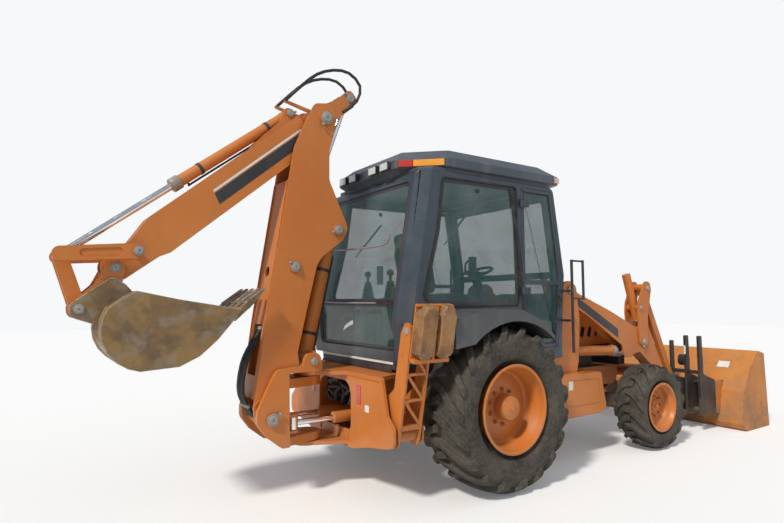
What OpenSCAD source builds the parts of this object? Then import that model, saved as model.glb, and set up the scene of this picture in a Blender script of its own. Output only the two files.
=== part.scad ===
// Backhoe loader, parked: loader bucket on the ground, hoe folded over the back.
// Millimetres. X forward, Y to the left, Z up, ground at Z = 0.
// Side-view points are [x, z] from the rear axle's centre line, and place() moves
// the whole machine so that its length is centred on the origin.

/* [Wheels] */
// Distance between the axles
wheelbase = 2170; // [2100:10:2250]
// Outer radius of a rear tyre over its lugs
rear_r = 650; // [620:5:660]
// Width of a rear tyre
rear_w = 490; // [440:10:500]
// Distance from the centre plane to the middle of a rear tyre
rear_y = 860; // [850:5:880]
// Outer radius of a front tyre over its lugs
front_r = 415; // [395:5:420]
// Width of a front tyre
front_w = 310; // [280:10:315]
// Distance from the centre plane to the middle of a front tyre
front_y = 850; // [845:5:870]
// Height of a lug above the tyre's carcass
lug_h = 32; // [20:2:36]

/* [Backhoe] */
// Slope of the folded dipper below the horizontal
dipper_angle = 40; // [38:0.5:42]
// Thickness of the boom's side plates
boom_plate = 25; // [16:1:28]
// Width of the digging bucket
hoe_w = 580; // [460:10:580]
// Height of the dipper's box
dipper_h = 275; // [240:5:290]

/* [Cab] */
// Half the width of the cab between the outer faces of its side glass
cab_half = 750; // [720:5:760]
// Height of the top of the roof
roof_z = 2720; // [2680:10:2760]
// Thickness of the window panes
glass_t = 8; // [5:1:10]

/* [Loader] */
// Width of the loader bucket
bucket_w = 2200; // [2000:20:2260]
// Thickness of the loader bucket's plates
bucket_t = 14; // [10:1:20]
// Distance from the centre plane to the inner face of a loader arm
arm_in = 505; // [500:1:508]
// Width of a loader arm
arm_w = 130; // [120:1:134]

/* [Fits] */
// Radial running clearance of a pin
pin_gap = 0.05; // [0.02:0.01:0.09]
// Side clearance between two pieces on one pin
side_gap = 1; // [0.5:0.1:1.5]
// Seat clearance between two pieces that touch
seat = 0.3; // [0.2:0.05:0.4]

/* [Hidden] */
$fn = 48;

orange = [0.80, 0.42, 0.13];
dark = [0.25, 0.28, 0.31];
black = [0.07, 0.07, 0.07];
chrome = [0.80, 0.80, 0.82];
ochre = [0.68, 0.50, 0.25];
clear = [0.35, 0.45, 0.45];
tyre_black = [0.12, 0.12, 0.12];

// Pins and pivots in the side view
swing_x = -1250;
foot = [-1620, 615];
boom_base = [-1285, 1020];
boom_eye = [-1050, 2065];
mid_pin = [-1430, 1750];
head = [-1165, 2980];
ear = [-905, 3215];
hoe_base = [-1450, 2990];
tip_guide = -1818;
tip_bucket = -1977;
function on_dipper(s, n) = head + [s * cos(dipper_angle) - n * sin(dipper_angle),
  s * sin(dipper_angle) + n * cos(dipper_angle)];
guide_pin = on_dipper(tip_guide, 11);
bucket_pin = on_dipper(tip_bucket, 0);
apex_pin = [-2995, 1785];
coupler_pin = [-2880, 1440];
arm_pivot = [1200, 1580];
knee = [2430, 1030];
crank_top = [2530, 1615];
trunnion = [2390, 1400];
tilt_eye = [2487, 1116];
link_pin = [3075, 549];
bucket_hinge = [2900, 400];
lift_base = [1040, 1000];
lift_eye = [2150, 950];
kingpin_y = 700;
stab_x = -855;
stab_y = 800;
stab_z = 520;
stab_lean = 11.7;
stab_base = [180, 862];
stab_lug = [-110, 180];
stab_eye = [stab_y + stab_lug[0] * cos(stab_lean) + stab_lug[1] * sin(stab_lean),
  stab_z - stab_lug[0] * sin(stab_lean) + stab_lug[1] * cos(stab_lean)];

// Reach of the machine, for the origin under its middle
bucket_lip_x = 4215;
hoe_end_x = apex_pin[0] - 46;
origin_x = (bucket_lip_x + hoe_end_x) / 2;

module place() { translate([-origin_x, 0, 0]) children(); }
module pair() {
  children();
  mirror([0, 1, 0]) children();
}
// A flat plate of thickness t centred on plane y, drawn as [x, z]
module plate(y, t) { translate([0, y + t / 2, 0]) rotate([90, 0, 0]) linear_extrude(t) children(); }
// A flat plate of thickness t from plane x forward, drawn as [y, z]
module cross(x, t) { translate([x, 0, 0]) rotate([90, 0, 90]) linear_extrude(t) children(); }
// A flat plate of thickness t from height z up, drawn as [x, y]
module level(z, t) { translate([0, 0, z]) linear_extrude(t) children(); }
// A round bar along Y through side-view point p
module bar(p, r, y0, y1) { translate([p[0], y1, p[1]]) rotate([90, 0, 0]) cylinder(r = r, h = y1 - y0); }
// A round bar along X
module rod_x(x0, x1, y, z, r) { translate([x0, y, z]) rotate([0, 90, 0]) cylinder(r = r, h = x1 - x0); }

function unit(v) = v / norm(v);
function bearing(p, q) = atan2(q[1] - p[1], q[0] - p[0]);
function corner(a, b, c, r, n = 5) = let (u = unit(a - b), w = unit(c - b),
  half = acos(max(-1, min(1, u * w))) / 2, o = b + unit(u + w) * r / sin(half),
  s = b + u * r / tan(half), e = b + w * r / tan(half),
  a0 = atan2(s[1] - o[1], s[0] - o[0]), a1 = atan2(e[1] - o[1], e[0] - o[0]),
  turn = ((a1 - a0 + 900) % 360) - 180)
  [for (i = [0:n]) o + r * [cos(a0 + turn * i / n), sin(a0 + turn * i / n)]];
// Outline from rows of [x, z, corner radius]
function outline(rows) = [for (i = [0:len(rows) - 1]) let (m = len(rows),
  a = rows[(i + m - 1) % m], b = rows[i], c = rows[(i + 1) % m], p = [b[0], b[1]])
  each (b[2] == 0 ? [p] : corner([a[0], a[1]], p, [c[0], c[1]], b[2]))];
module shape(rows) { polygon(outline(rows)); }
module disc(p, r) { translate(p) circle(r); }
// Straight link between two round ends
module strap(p, q, rp, rq) {
  a = bearing(p, q);
  f = acos((rp - rq) / norm(q - p));
  disc(p, rp);
  disc(q, rq);
  polygon([p + rp * [cos(a + f), sin(a + f)], q + rq * [cos(a + f), sin(a + f)],
    q + rq * [cos(a - f), sin(a - f)], p + rp * [cos(a - f), sin(a - f)]]);
}
// Strip of width w along a chain of points, with round joints
module strip(points, w) {
  for (i = [0:len(points) - 2]) strap(points[i], points[i + 1], w / 2, w / 2 - 0.01);
}
// Local frame at side-view point p, with local X toward q
module aim(p, q, y = 0) { translate([p[0], y, p[1]]) rotate([0, -bearing(p, q), 0]) children(); }

// Hydraulic barrel from its eye at p toward q: radius r, length l, bore for the rod
module ram_barrel(p, q, y, r, l, rod_r, pin_r, eye_w, bore_from = 60) {
  difference() {
    union() {
      aim(p, q, y) rotate([0, 90, 0]) cylinder(r = r, h = l - 70);
      aim(p, q, y) translate([l - 70, 0, 0]) rotate([0, 90, 0]) cylinder(r = r + 8, h = 70);
      bar(p, r + 4, y - eye_w / 2, y + eye_w / 2);
    }
    aim(p, q, y) translate([bore_from, 0, 0]) rotate([0, 90, 0]) cylinder(r = rod_r + seat, h = l);
    bar(p, pin_r + pin_gap, y - eye_w, y + eye_w);
  }
}
// Rod whose eye is at q; its inner end lies at distance s0 from p
module ram_rod(p, q, y, s0, rod_r, eye_r, eye_w) {
  aim(p, q, y) translate([s0, 0, 0]) rotate([0, 90, 0]) cylinder(r = rod_r, h = norm(q - p) - s0 - eye_r / 2);
  bar(q, eye_r, y - eye_w / 2, y + eye_w / 2);
}

// Wheels
rim_r_rear = 330;
rim_r_front = 228;
lug_rows_rear = 19;
lug_rows_front = 15;

// Tyre round the Y axis: outer radius r, width w, bead radius b, n lugs a side
module tyre(r, w, b, n) {
  c = r - lug_h;
  rotate([90, 0, 0]) rotate_extrude($fn = 96) polygon([[b, -w * 0.40], [b + 26, -w * 0.47],
    [c * 0.80, -w * 0.5], [c * 0.93, -w * 0.47], [c - 4, -w * 0.38], [c, 0],
    [c - 4, w * 0.38], [c * 0.93, w * 0.47], [c * 0.80, w * 0.5], [b + 26, w * 0.47], [b, w * 0.40]]);
  intersection() {
    union() {
      for (side = [-1, 1], i = [0:n - 1])
        rotate([0, (i + side / 4) * 360 / n, 0]) translate([0, side * w * 0.255, c + lug_h / 2 - 12])
          rotate([0, 0, side * 33]) cube([r * 0.095, w * 0.5, lug_h + 30], center = true);
    }
    rotate([90, 0, 0]) cylinder(r = r, h = w, center = true, $fn = 96);
  }
}
// Steel rim round the Y axis, outside toward -Y; d is the depth of its centre disc
module rim(b, w, d, hub_r, hub_l) {
  rotate([90, 0, 0]) rotate_extrude($fn = 96) polygon([[b - 1, w * 0.42], [b - 30, w * 0.42],
    [b - 42, w * 0.30], [b - 60, d + 14], [hub_r + 50, d + 2], [hub_r, d + 14],
    [hub_r, d + hub_l], [hub_r - 18, d + hub_l + 14], [0, d + hub_l + 14], [0, d - 20],
    [b - 66, d - 14], [b - 52, -w * 0.42], [b - 1, -w * 0.42]]);
}
module rear_wheel() {
  color(tyre_black) tyre(rear_r, rear_w, rim_r_rear, lug_rows_rear);
  color(orange) rim(rim_r_rear, rear_w, 60, 100, 120);
}
module front_wheel() {
  color(tyre_black) tyre(front_r, front_w, rim_r_front, lug_rows_front);
  color(orange) rim(rim_r_front, front_w, 30, 70, 60);
}
module rear_wheel_r() { place() translate([0, -rear_y, rear_r]) rear_wheel(); }
module rear_wheel_l() { mirror([0, 1, 0]) rear_wheel_r(); }
module front_wheel_r() { place() translate([wheelbase, -front_y, front_r]) front_wheel(); }
module front_wheel_l() { mirror([0, 1, 0]) front_wheel_r(); }

// Axles: a driven rear axle and an oscillating front beam with kingpins
module axles() {
  color(dark) place() {
    translate([0, 0, rear_r]) {
      rotate([90, 0, 0]) cylinder(r = 120, h = 2 * 620, center = true);
      rotate([90, 0, 0]) cylinder(r = 210, h = 300, center = true);
      pair() bar([0, 0], 170, 560, rear_y - 60);
      pair() bar([0, 0], 90, 600, rear_y + 40 - seat);
    }
    translate([wheelbase, 0, front_r]) {
      cube([120, 2 * (kingpin_y - 112), 110], center = true);
      translate([0, 0, 60]) rotate([0, 90, 0]) cylinder(r = 75, h = 300, center = true);
      pair() for (z = [-75, 45]) translate([0, 0, z]) linear_extrude(30)
        strap([0, kingpin_y - 110], [0, kingpin_y], 55, 42);
      pair() translate([0, kingpin_y, -80]) cylinder(r = 20, h = 160);
    }
  }
}
module knuckle() {
  color(orange) place() translate([wheelbase, -kingpin_y, front_r]) {
    difference() {
      translate([0, 0, -43]) cylinder(r = 50, h = 86);
      translate([0, 0, -60]) cylinder(r = 20 + pin_gap, h = 120);
    }
    bar([0, 0], 38, -(front_y - kingpin_y) - 10 + seat, -40);
    translate([-150, 20, -20]) cube([120, 26, 36]);
  }
}
module knuckle_r() { knuckle(); }
module knuckle_l() { mirror([0, 1, 0]) knuckle(); }

// Main frame
rail_y = 300;
frame_rear = -1000;
lug_top = 930;
lug_low = 360;
lug_t = 30;
rear_plate_t = 25;
module rear_outline() {
  shape([[-872, 455, 50], [-872, 590, 50], [-790, 660, 60], [-720, lug_top, 30], [720, lug_top, 30],
    [790, 660, 60], [872, 590, 50], [872, 455, 50], [740, 425, 60], [560, 400, 40], [300, 340, 30],
    [-300, 340, 30], [-560, 400, 40], [-740, 425, 60]]);
}
module rear_window() { shape([[-275, 470, 50], [-275, 850, 110], [275, 850, 110], [275, 470, 50]]); }
module swing_lug(z) {
  difference() {
    level(z, lug_t) {
      disc([swing_x, 0], 110);
      shape([[swing_x, -110, 0], [frame_rear + 30, -250, 0], [frame_rear + 30, 250, 0], [swing_x, 110, 0]]);
    }
  }
}
module chassis() {
  color(orange) place() {
    difference() {
      cross(frame_rear, rear_plate_t) rear_outline();
      translate([-10, 0, 0]) cross(frame_rear, rear_plate_t + 20) rear_window();
    }
    // Upper and lower swing lugs with their pins
    swing_lug(lug_top - lug_t);
    swing_lug(lug_low);
    translate([swing_x, 0, lug_top - 110]) cylinder(r = 42, h = 125);
    translate([swing_x, 0, lug_low - 12]) cylinder(r = 42, h = 118);
    // Box behind the cab: top, bottom, side walls
    level(lug_top - lug_t, lug_t) shape([[frame_rear, -700, 20], [-640, -560, 20], [-640, 560, 20], [frame_rear, 700, 20]]);
    level(lug_low, 20) shape([[frame_rear, -300, 0], [-640, -300, 0], [-640, 300, 0], [frame_rear, 300, 0]]);
    pair() difference() {
      plate(rail_y + 6, 16) shape([[frame_rear + 5, 365, 0], [-560, 400, 0], [-480, 560, 0],
        [wheelbase + 180, 560, 60], [wheelbase + 260, 650, 30], [wheelbase + 260, 760, 20], [300, 780, 0],
        [-300, 900, 30], [frame_rear + 5, 905, 0]]);
      bar([0, rear_r], 120 + seat, 0, 500);
      // Passage of the stabilizer cylinder
      translate([stab_x - 50, rail_y - 20, 745]) cube([100, 60, 140]);
    }
    // Posts and pins of the hood's hinge
    pair() {
      plate(208, 16) shape([[1228, 700, 0], [1312, 700, 0], [1312, 740, 0], [1284, 790, 20], [1284, 1500, 20],
        [1262, 1524, 15], [1240, 1500, 20], [1228, 760, 10]]);
      bar(hood_hinge, 12, 200, 234);
    }
    for (x = [1300, wheelbase + 244]) cross(x, 16) shape([[-rail_y, 600, 0], [rail_y, 600, 0],
      [rail_y, 745, 0], [-rail_y, 745, 0]]);
    // Cradle of the front axle
    for (x = [wheelbase - 150 - seat - 18, wheelbase + 150 + seat]) cross(x, 18) shape([[-rail_y, 565, 0],
      [-rail_y, 612, 0], [rail_y, 612, 0], [rail_y, 565, 0], [120, 400, 30], [-120, 400, 30]]);
    // Stabilizer lugs: the rear plate carries one ear, this plate the other
    pair() {
      cross(stab_x + 112, 18) shape([[rail_y, 480, 0], [rail_y, 720, 20], [stab_y - 80, 640, 40],
        [stab_y + 65, 590, 60], [stab_y + 65, 455, 60], [stab_y - 80, 440, 40]]);
      translate([frame_rear + 5, stab_y - 230, 440]) cube([stab_x + 112 - frame_rear, 20, 170]);
      rod_x(frame_rear + 2, stab_x + 140, stab_y, stab_z, 26);
      for (x = [stab_x - 60, stab_x + 44]) cross(x, 16) shape([[stab_base[0] - 60, 915, 0],
        [stab_base[0] - 34, 830, 20], [stab_base[0] + 34, 830, 20], [stab_base[0] + 60, 915, 0]]);
      rod_x(stab_x - 64, stab_x + 64, stab_base[0], stab_base[1], 16);
    }
    // Loader towers beside the hood, with the arm pins and the lift cylinder pins
    pair() {
      for (y = [arm_in - 22, arm_in + arm_w + 22]) plate(y, 20) shape([[900, 760, 30], [905, 925, 20],
        [982, 950, 20], [1000, 1300, 60], [1090, 1620, 50], [1180, 1680, 60], [1290, 1620, 50], [1330, 1300, 60],
        [1300, 900, 30], [1260, 760, 20]]);
      bar(arm_pivot, 30, arm_in - 40, arm_in + arm_w + 44);
      bar(lift_base, 25, arm_in - 30, arm_in + arm_w + 36);
      difference() {
        translate([890, rail_y, 690]) cube([380, arm_in + arm_w + 32 - rail_y, 70]);
        translate([990, rail_y + 40, 600]) cube([180, 120, 200]);
      }
      translate([1075, arm_in - 15, 1390]) cube([20, arm_w + 30, 80]);
    }
    // Side tank with its step, right and left
    pair() translate([0, rail_y, 0]) plate(310, 580 - rail_y) shape([[730, 943, 20], [745, 800, 20], [1530, 790, 30],
      [1560, 610, 30], [1600, 450, 40], [1480, 400, 20], [930, 395, 40], [800, 560, 30], [700, 620, 20],
      [690, 930, 20]]);
    // Cab floor supports
    for (x = [-420, 700]) pair() translate([x, rail_y - 10, 760]) cube([60, 40, 190 - seat]);
  }
}
module engine() {
  color(dark) place() {
    translate([1316 + seat, -230, 620]) cube([774, 460, 560]);
    translate([330, -200, 480]) cube([800, 400, 420]);
    translate([1120, -120, 750]) cube([210, 240, 90]);
  }
}

// Hood, grille and exhaust
hood_y = 385;
hood_hinge = [1262, 1500];
hood_x = wheelbase + 200;
hood_side = [[1280, 1010, 0], [1270, 1560, 40], [1500, 1540, 80], [hood_x - 70, 1330, 90], [hood_x, 1180, 60],
  [hood_x, 1010, 0]];
module hood() {
  color(orange) place() difference() {
    plate(0, 2 * hood_y) shape(hood_side);
    plate(0, 2 * hood_y - 16) shape([[1200, 900, 0], [1200, 1540, 0], [1500, 1532, 80], [hood_x - 80, 1322, 84],
      [hood_x - 8, 1176, 54], [hood_x - 8, 900, 0]]);
    for (i = [0:5]) translate([1500 + 120 * i, 0, 1150]) rotate([0, 20, 0]) cube([60, 2 * hood_y + 20, 110], center = true);
  }
  // Hinge lugs
  color(orange) place() pair() difference() {
    plate(223.5, 13) shape([[1238, 1480, 20], [1242, 1524, 20], [1290, 1550, 0], [1350, 1546, 0], [1350, 1500, 20], [1275, 1472, 20]]);
    bar(hood_hinge, 12 + pin_gap, 0, 400);
  }
}
module grille() {
  color(black) place() translate([hood_x, 0, 0]) {
    difference() {
      plate(0, 2 * hood_y - 30) shape([[seat, 767, 0], [seat, 1180, 40], [30, 1230, 20], [80, 1180, 40],
        [110, 1000, 40], [120, 767, 20]]);
      for (i = [0:7]) translate([10, -300, 800 + 46 * i]) cube([140, 600, 26]);
    }
    translate([14, -310, 790]) cube([16, 620, 380]);
  }
}

// Cab: rounded shell with the side, rear and front openings cut through it
cab_floor = 950;
wall = 55;
cab_rear = -830;
roof_low = roof_z - 190;
// The floor fits between the rear tyres
floor_gap = 15;
floor_y = rear_y - rear_w / 2 - floor_gap;
arch_z = rear_r + 755;
side_outline = [[-800, 1010, 20], [-840, 1350, 80], [-637, 2520, 60], [880, 2520, 60], [1010, 1720, 90],
  [960, 1130, 60], [960, 960, 20], [605, 955, 20], [437, rear_r + 600, 120], [150, arch_z, 220], [-300, arch_z, 220],
  [-560, rear_r + 600, 60], [-640, 1010, 20]];
side_inside = [[-750, 1065, 20], [-790, 1350, 80], [-600, 2600, 0], [830, 2600, 0], [955, 1720, 90],
  [905, 1135, 60], [905, 1010, 20], [665, 1010, 40], [490, rear_r + 640, 120], [190, arch_z + 50, 200], [-330, arch_z + 50, 200],
  [-600, rear_r + 660, 60], [-690, 1065, 20]];
quarter_window = [[-640, arch_z + 110, 60], [-500, 2040, 300], [-440, 2470, 50], [400, 2480, 30], [420, arch_z + 30, 60], [-560, arch_z + 30, 80]];
door_window = [[455, 1300, 60], [455, 2485, 20], [850, 2485, 40], [965, 1720, 80], [915, 1150, 40], [915, 1062, 20], [730, 1062, 40],
  [610, 1100, 60]];
rear_half = cab_half - 130;
front_half = cab_half - 110;
rear_pane = [[-799, 1473], [-637, 2438]];
low_pane = [[-783, 1101], [-799, 1469]];
front_pane = [[977, 1723], [873, 2438]];
sill_pane = [[944, 1260.4], [977, 1718]];
hinge_x = 444;
hinge_y = cab_half + 18;
hinge_heights = [1540, 2310];
module cab_shell() {
  color(dark) place() difference() {
    union() {
      plate(0, 2 * cab_half) shape(side_outline);
      plate(0, 2 * floor_y) shape([[-800, cab_floor, 20], [-835, 1350, 60], [960, 1350, 60], [960, cab_floor, 20]]);
    }
    // Inside of the cab: over the wheel arches, then down to the floor between them
    plate(0, 2 * (cab_half - wall)) shape(side_inside);
    plate(0, 2 * (floor_y - 40)) shape([[-750, cab_floor + wall, 20], [-785, 1340, 60], [-700, 1600, 0], [900, 1600, 0],
      [905, cab_floor + wall, 20]]);
    plate(0, 2 * cab_half + 20) shape(quarter_window);
    plate(0, 2 * cab_half + 20) shape(door_window);
    cross(-900, 420) shape([[-rear_half, 1100, 40], [-rear_half, 2440, 60], [rear_half, 2440, 60], [rear_half, 1100, 40]]);
    cross(700, 400) shape([[-front_half, 1260, 80], [-front_half, 2440, 60], [front_half, 2440, 60], [front_half, 1260, 80]]);
    // Flat faces of the rear corner posts
    pair() aim([-840, 1350], [-637, 2520]) translate([-40, 0, 0]) rotate([90, 0, 90]) linear_extrude(1400)
      polygon([[cab_half - 85, 1], [cab_half + 10, -111.8], [cab_half + 10, 60], [cab_half - 85, 60]]);
  }
  // Hinge pins of the doors, each between two ears
  color(dark) place() pair() for (z = hinge_heights) {
    translate([hinge_x, hinge_y, z - 6]) cylinder(r = 8, h = 72);
    for (h = [z - 8, z + 60]) translate([hinge_x - 14, cab_half - 0.5, h]) cube([22, hinge_y - cab_half + 12.5, 8]);
  }
}
// A pane of half width w between two side-view points, corner radii r0 and r1
module pane(ends, w, r0, r1) {
  l = norm(ends[1] - ends[0]);
  aim(ends[0], ends[1]) translate([0, 0, -glass_t / 2]) linear_extrude(glass_t)
    shape([[0, -w, r0], [l, -w, r1], [l, w, r1], [0, w, r0]]);
}
module cab_glass() {
  color(clear, 0.5) place() {
    // Rear and front panes in two heights and the two side panes, each seated in its opening
    pane(rear_pane, rear_half - seat, 2, 64);
    pane(low_pane, rear_half - seat, 44, 2);
    pane(front_pane, front_half - seat, 2, 64);
    pane(sill_pane, front_half - seat, 84, 2);
    pair() plate(cab_half - 12, glass_t) offset(delta = -seat) shape(quarter_window);
  }
}
module door(side = 1) {
  color(dark) place() {
    difference() {
      plate(-cab_half + 12, 24) offset(delta = -3) shape(door_window);
      plate(-cab_half, 60) offset(delta = -32) shape(door_window);
    }
    plate(-cab_half + 12, glass_t) offset(delta = -32 + seat) shape(door_window);
    // Knuckles of the two hinges and their leaves
    for (z = hinge_heights) difference() {
      union() {
        translate([hinge_x, -hinge_y, z + side_gap]) cylinder(r = 15, h = 60 - 2 * side_gap);
        translate([hinge_x, -hinge_y - 6, z + side_gap]) cube([90, 14, 60 - 2 * side_gap]);
        translate([hinge_x + 22, -hinge_y, z + side_gap]) cube([68, 20, 60 - 2 * side_gap]);
      }
      translate([hinge_x, -hinge_y, z - 10]) cylinder(r = 8 + pin_gap, h = 90);
    }
    translate([880, -cab_half - 40, 1420]) cube([30, 40, 120]);
  }
}
module door_r() { door(); }
module door_l() { mirror([0, 1, 0]) door(); }

// Plan of the roof: front at x1, rear at x0 with cut corners, half width w
module roof_plan(x0, x1, w, cut) {
  shape([[x0, -w + cut * 0.95, 20], [x0 + cut, -w, 60], [x1 - 40, -w, 80], [x1, -w + 120, 60], [x1, w - 120, 60], [x1 - 40, w, 80],
    [x0 + cut, w, 60], [x0, w - cut * 0.95, 20]]);
}
roof_rear = -700;
roof_front = 1000;
roof_half = cab_half + 20;
roof_cut = 320;
module cab_roof() {
  color(dark) place() {
    hull() {
      level(roof_low + 3, 10) roof_plan(roof_rear + 90, roof_front - 90, roof_half - 80, roof_cut - 30);
      level(roof_low + 30, 70) roof_plan(roof_rear, roof_front, roof_half, roof_cut);
      level(roof_z - 12, 12) roof_plan(roof_rear + 110, roof_front - 150, roof_half - 95, roof_cut - 40);
    }
    level(roof_low - 10 + seat, 30) polygon([[-600, 110 - cab_half], [-520, 15 - cab_half], [850, 15 - cab_half],
      [850, cab_half - 15], [-520, cab_half - 15], [-600, cab_half - 110]]);
  }
}
// Work lamps on the rear edge, markers on the front edge, turn and tail lamps on the cut corners
module lamps() {
  color([0.9, 0.9, 0.85]) place() {
    for (y = [-350, -170, 170, 350]) translate([roof_rear - 40, y - 62, roof_low + 26]) cube([40 - seat, 124, 72]);
    for (y = [-560, 560]) translate([roof_front + seat, y - 55, roof_low + 36]) cube([30, 110, 56]);
  }
  color("red") place() pair() {
    translate([roof_rear, roof_half - roof_cut * 0.95, 0]) rotate([0, 0, atan(0.95)])
      translate([24, seat, roof_low + 32]) cube([386, 14, 64]);
    translate([frame_rear - 4.3, -420, 700]) cube([4, 40, 130]);
  }
}

// Rear fenders over the tyres
fender_y = 1110;
// The fender's front end goes with the tyre's size
fender_k = rear_r / 650;
module fenders() {
  color(dark) place() pair() difference() {
    plate((cab_half + seat + fender_y) / 2, fender_y - cab_half - seat) polygon(concat(outline([[430 * fender_k, rear_r + 545 * fender_k, 0],
      [300 * fender_k, rear_r + 665 * fender_k, 200], [60, rear_r + 765, 260], [-250, rear_r + 767, 300], [-622, rear_r + 700, 60], [-622, rear_r + 490, 10]]),
      [for (a = [130:-6:52]) [0, rear_r] + (rear_r + 24) * [cos(a), sin(a)]], [[430 * fender_k, rear_r + 519 * fender_k]]));
    plate((700 + fender_y - 16) / 2, fender_y - 16 - 700) shape([[-606, rear_r + 450, 0], [-606, rear_r + 686, 0],
      [-252, rear_r + 753, 300], [56, rear_r + 751, 250], [290 * fender_k, rear_r + 652 * fender_k, 190],
      [416 * fender_k, rear_r + 537 * fender_k, 0], [416 * fender_k, rear_r + 250, 0]]);
  }
}
module seat() {
  color([0.15, 0.15, 0.16]) place() {
    translate([-150, -240, 1420]) cube([480, 480, 120]);
    aim([-130, 1545], [-250, 2120]) translate([0, -230, -60]) cube([560, 460, 110]);
  }
}
module controls() {
  color(black) place() {
    translate([-100, -200, cab_floor + wall + seat]) cube([380, 400, 1420 - cab_floor - wall - 2 * seat]);
    translate([760, -65, cab_floor + wall + seat]) cube([110, 130, 130]);
    aim([820, 1100], [560, 1800]) rotate([0, 90, 0]) cylinder(r = 45, h = 700);
    aim([820, 1100], [560, 1800]) translate([700, 0, 0]) rotate([0, 90, 0]) rotate_extrude() translate([180, 0]) circle(14);
    aim([820, 1100], [560, 1800]) translate([700, 0, 0]) {
      rotate([90, 0, 0]) cylinder(r = 11, h = 360, center = true);
      rotate([0, 90, 0]) cylinder(r = 50, h = 20);
    }
    for (y = [-230, 140]) translate([-620, y, cab_floor + wall + seat]) {
      cube([120, 90, 500]);
      translate([60, 45, 500]) cylinder(r = 12, h = 220);
      translate([60, 45, 720]) sphere(r = 30, $fn = 24);
    }
  }
}
module handrails() {
  color(black) place() pair() {
    translate([990, cab_half + 105, 1010]) cylinder(r = 13, h = 845);
    translate([945, cab_half + seat, 1290]) cube([60, 110, 20]);
    translate([966, cab_half + seat, 1560]) cube([39, 110, 20]);
    for (z = [1500, 1845]) rod_x(985, 1150, cab_half + 105, z, 9);
    translate([1150, cab_half + 105, 1488]) cylinder(r = 12, h = 368);
  }
}

// Swing cylinders lie in the frame and push on the tower's ears
ram_y = 140;
ram_z = 560;
swing_eye_x = -1430;
module swing_barrels() {
  color(orange) place() {
    pair() difference() {
      rod_x(-1085, -500, ram_y, ram_z, 45);
      rod_x(-1100, -540, ram_y, ram_z, 22 + seat);
    }
    difference() {
      translate([-548, -rail_y + 2 + seat, ram_z - 90]) cube([24, 2 * (rail_y - 2 - seat), 180]);
      pair() rod_x(-560, -500, ram_y, ram_z, 40);
    }
  }
}
module swing_rod(side) {
  color(chrome) place() translate([0, side * ram_y, ram_z]) {
    rod_x(swing_eye_x + 20, -760, 0, 0, 22);
    translate([swing_eye_x, 0, -45]) cylinder(r = 38, h = 90);
  }
}
module swing_rod_r() { swing_rod(-1); }
module swing_rod_l() { swing_rod(1); }

// Swing tower: side plates, back wall, two arms round the frame's lugs
tower_in = 162;
tower_t = 42;
module tower_arm(z, t) {
  difference() {
    level(z, t) {
      disc([swing_x, 0], 105);
      shape([[swing_x, -105, 0], [-1440, -tower_in - 1, 30], [-1510, -tower_in - 1, 0], [-1510, tower_in + 1, 0],
        [-1440, tower_in + 1, 30], [swing_x, 105, 0]]);
    }
    translate([swing_x, 0, z - 1]) cylinder(r = 42 + pin_gap, h = t + 2);
  }
}
module swing_tower() {
  color(orange) place() {
    pair() difference() {
      plate(tower_in + tower_t / 2, tower_t) shape([[-1735, 590, 90], [-1735, 680, 70], [-1590, 975, 80],
        [-1375, 990, 20], [-1350, 1080, 50], [-1235, 1085, 50], [-1215, 990, 20], [-1215, 942, 10],
        [-1488, 942, 10], [-1480, 480, 10], [-1475, 396, 10], [-1540, 396, 40], [-1660, 490, 60]]);
      bar(boom_base, 28, -tower_in - 90, tower_in + 90);
    }
    translate([-1510, -tower_in - 1, 396]) cube([30, 2 * tower_in + 2, 498]);
    tower_arm(lug_top - lug_t - 76, 70);
    tower_arm(lug_low + lug_t + 6, 64);
    // Ears over and under each swing cylinder's eye
    for (y = [-ram_y, ram_y], z = [ram_z - 45 - 5 - 22, ram_z + 45 + 5]) level(z, 22) {
      disc([swing_eye_x, y], 44);
      translate([-1495, y - 44]) square([65, 88]);
    }
    bar(foot, 38, -tower_in - tower_t - 16, tower_in + tower_t + 16);
    bar(boom_base, 28, -tower_in - tower_t - 8, tower_in + tower_t + 8);
  }
}

// Boom: two bulged side plates, closed on the bucket side
boom_half = 155;
boom_side = [[-1725, 560, 60], [-1745, 700, 60], [-1660, 1350, 0], [-1440, 2700, 300], [-1330, 2960, 40],
  [-1265, 3085, 40], [-1080, 3120, 60], [-1085, 2900, 60], [-1135, 2720, 80], [-1135, 2470, 120],
  [-960, 2090, 60], [-1000, 1990, 60], [-1230, 1810, 200], [-1330, 1400, 200], [-1400, 1090, 40],
  [-1385, 985, 20], [-1524, 925, 60], [-1536, 640, 60], [-1560, 540, 60]];
module boom() {
  color(orange) place() difference() {
    union() {
      pair() plate(boom_half - boom_plate / 2, boom_plate) shape(boom_side);
      // Closed rear face and the inner web behind the boom cylinder
      difference() {
        plate(0, 2 * boom_half - 20) shape([[-1738, 760, 0], [-1655, 1350, 0], [-1478, 2440, 0], [-1460, 2436, 0],
          [-1637, 1346, 0], [-1720, 756, 0]]);
        translate([-1600, 0, 1715]) rotate([0, 90, 0]) cylinder(r = 42, h = 200, center = true);
        translate([-1750, -82, 930]) cube([200, 164, 380]);
      }
      bar(foot, 72, -boom_half + side_gap, boom_half - side_gap);
      pair() {
        bar(mid_pin, 44, boom_half - 1, boom_half + 10);
        bar(boom_eye, 44, boom_half - 1, boom_half + 10);
      }
      bar(head, 40, -boom_half - 14, boom_half + 14);
      bar(mid_pin, 32, -boom_half, boom_half);
      pair() bar(head, 62, boom_half - 1, boom_half + 12);
    }
    bar(foot, 38 + pin_gap, -200, 200);
  }
}
function hose_ring(p, d, r, n) = let (u = unit(d), v = unit(cross3(u, [0, 1, 0.01])), w = cross3(u, v))
  [for (i = [0:n - 1]) p + r * (cos(360 * i / n) * v + sin(360 * i / n) * w)];
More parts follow.
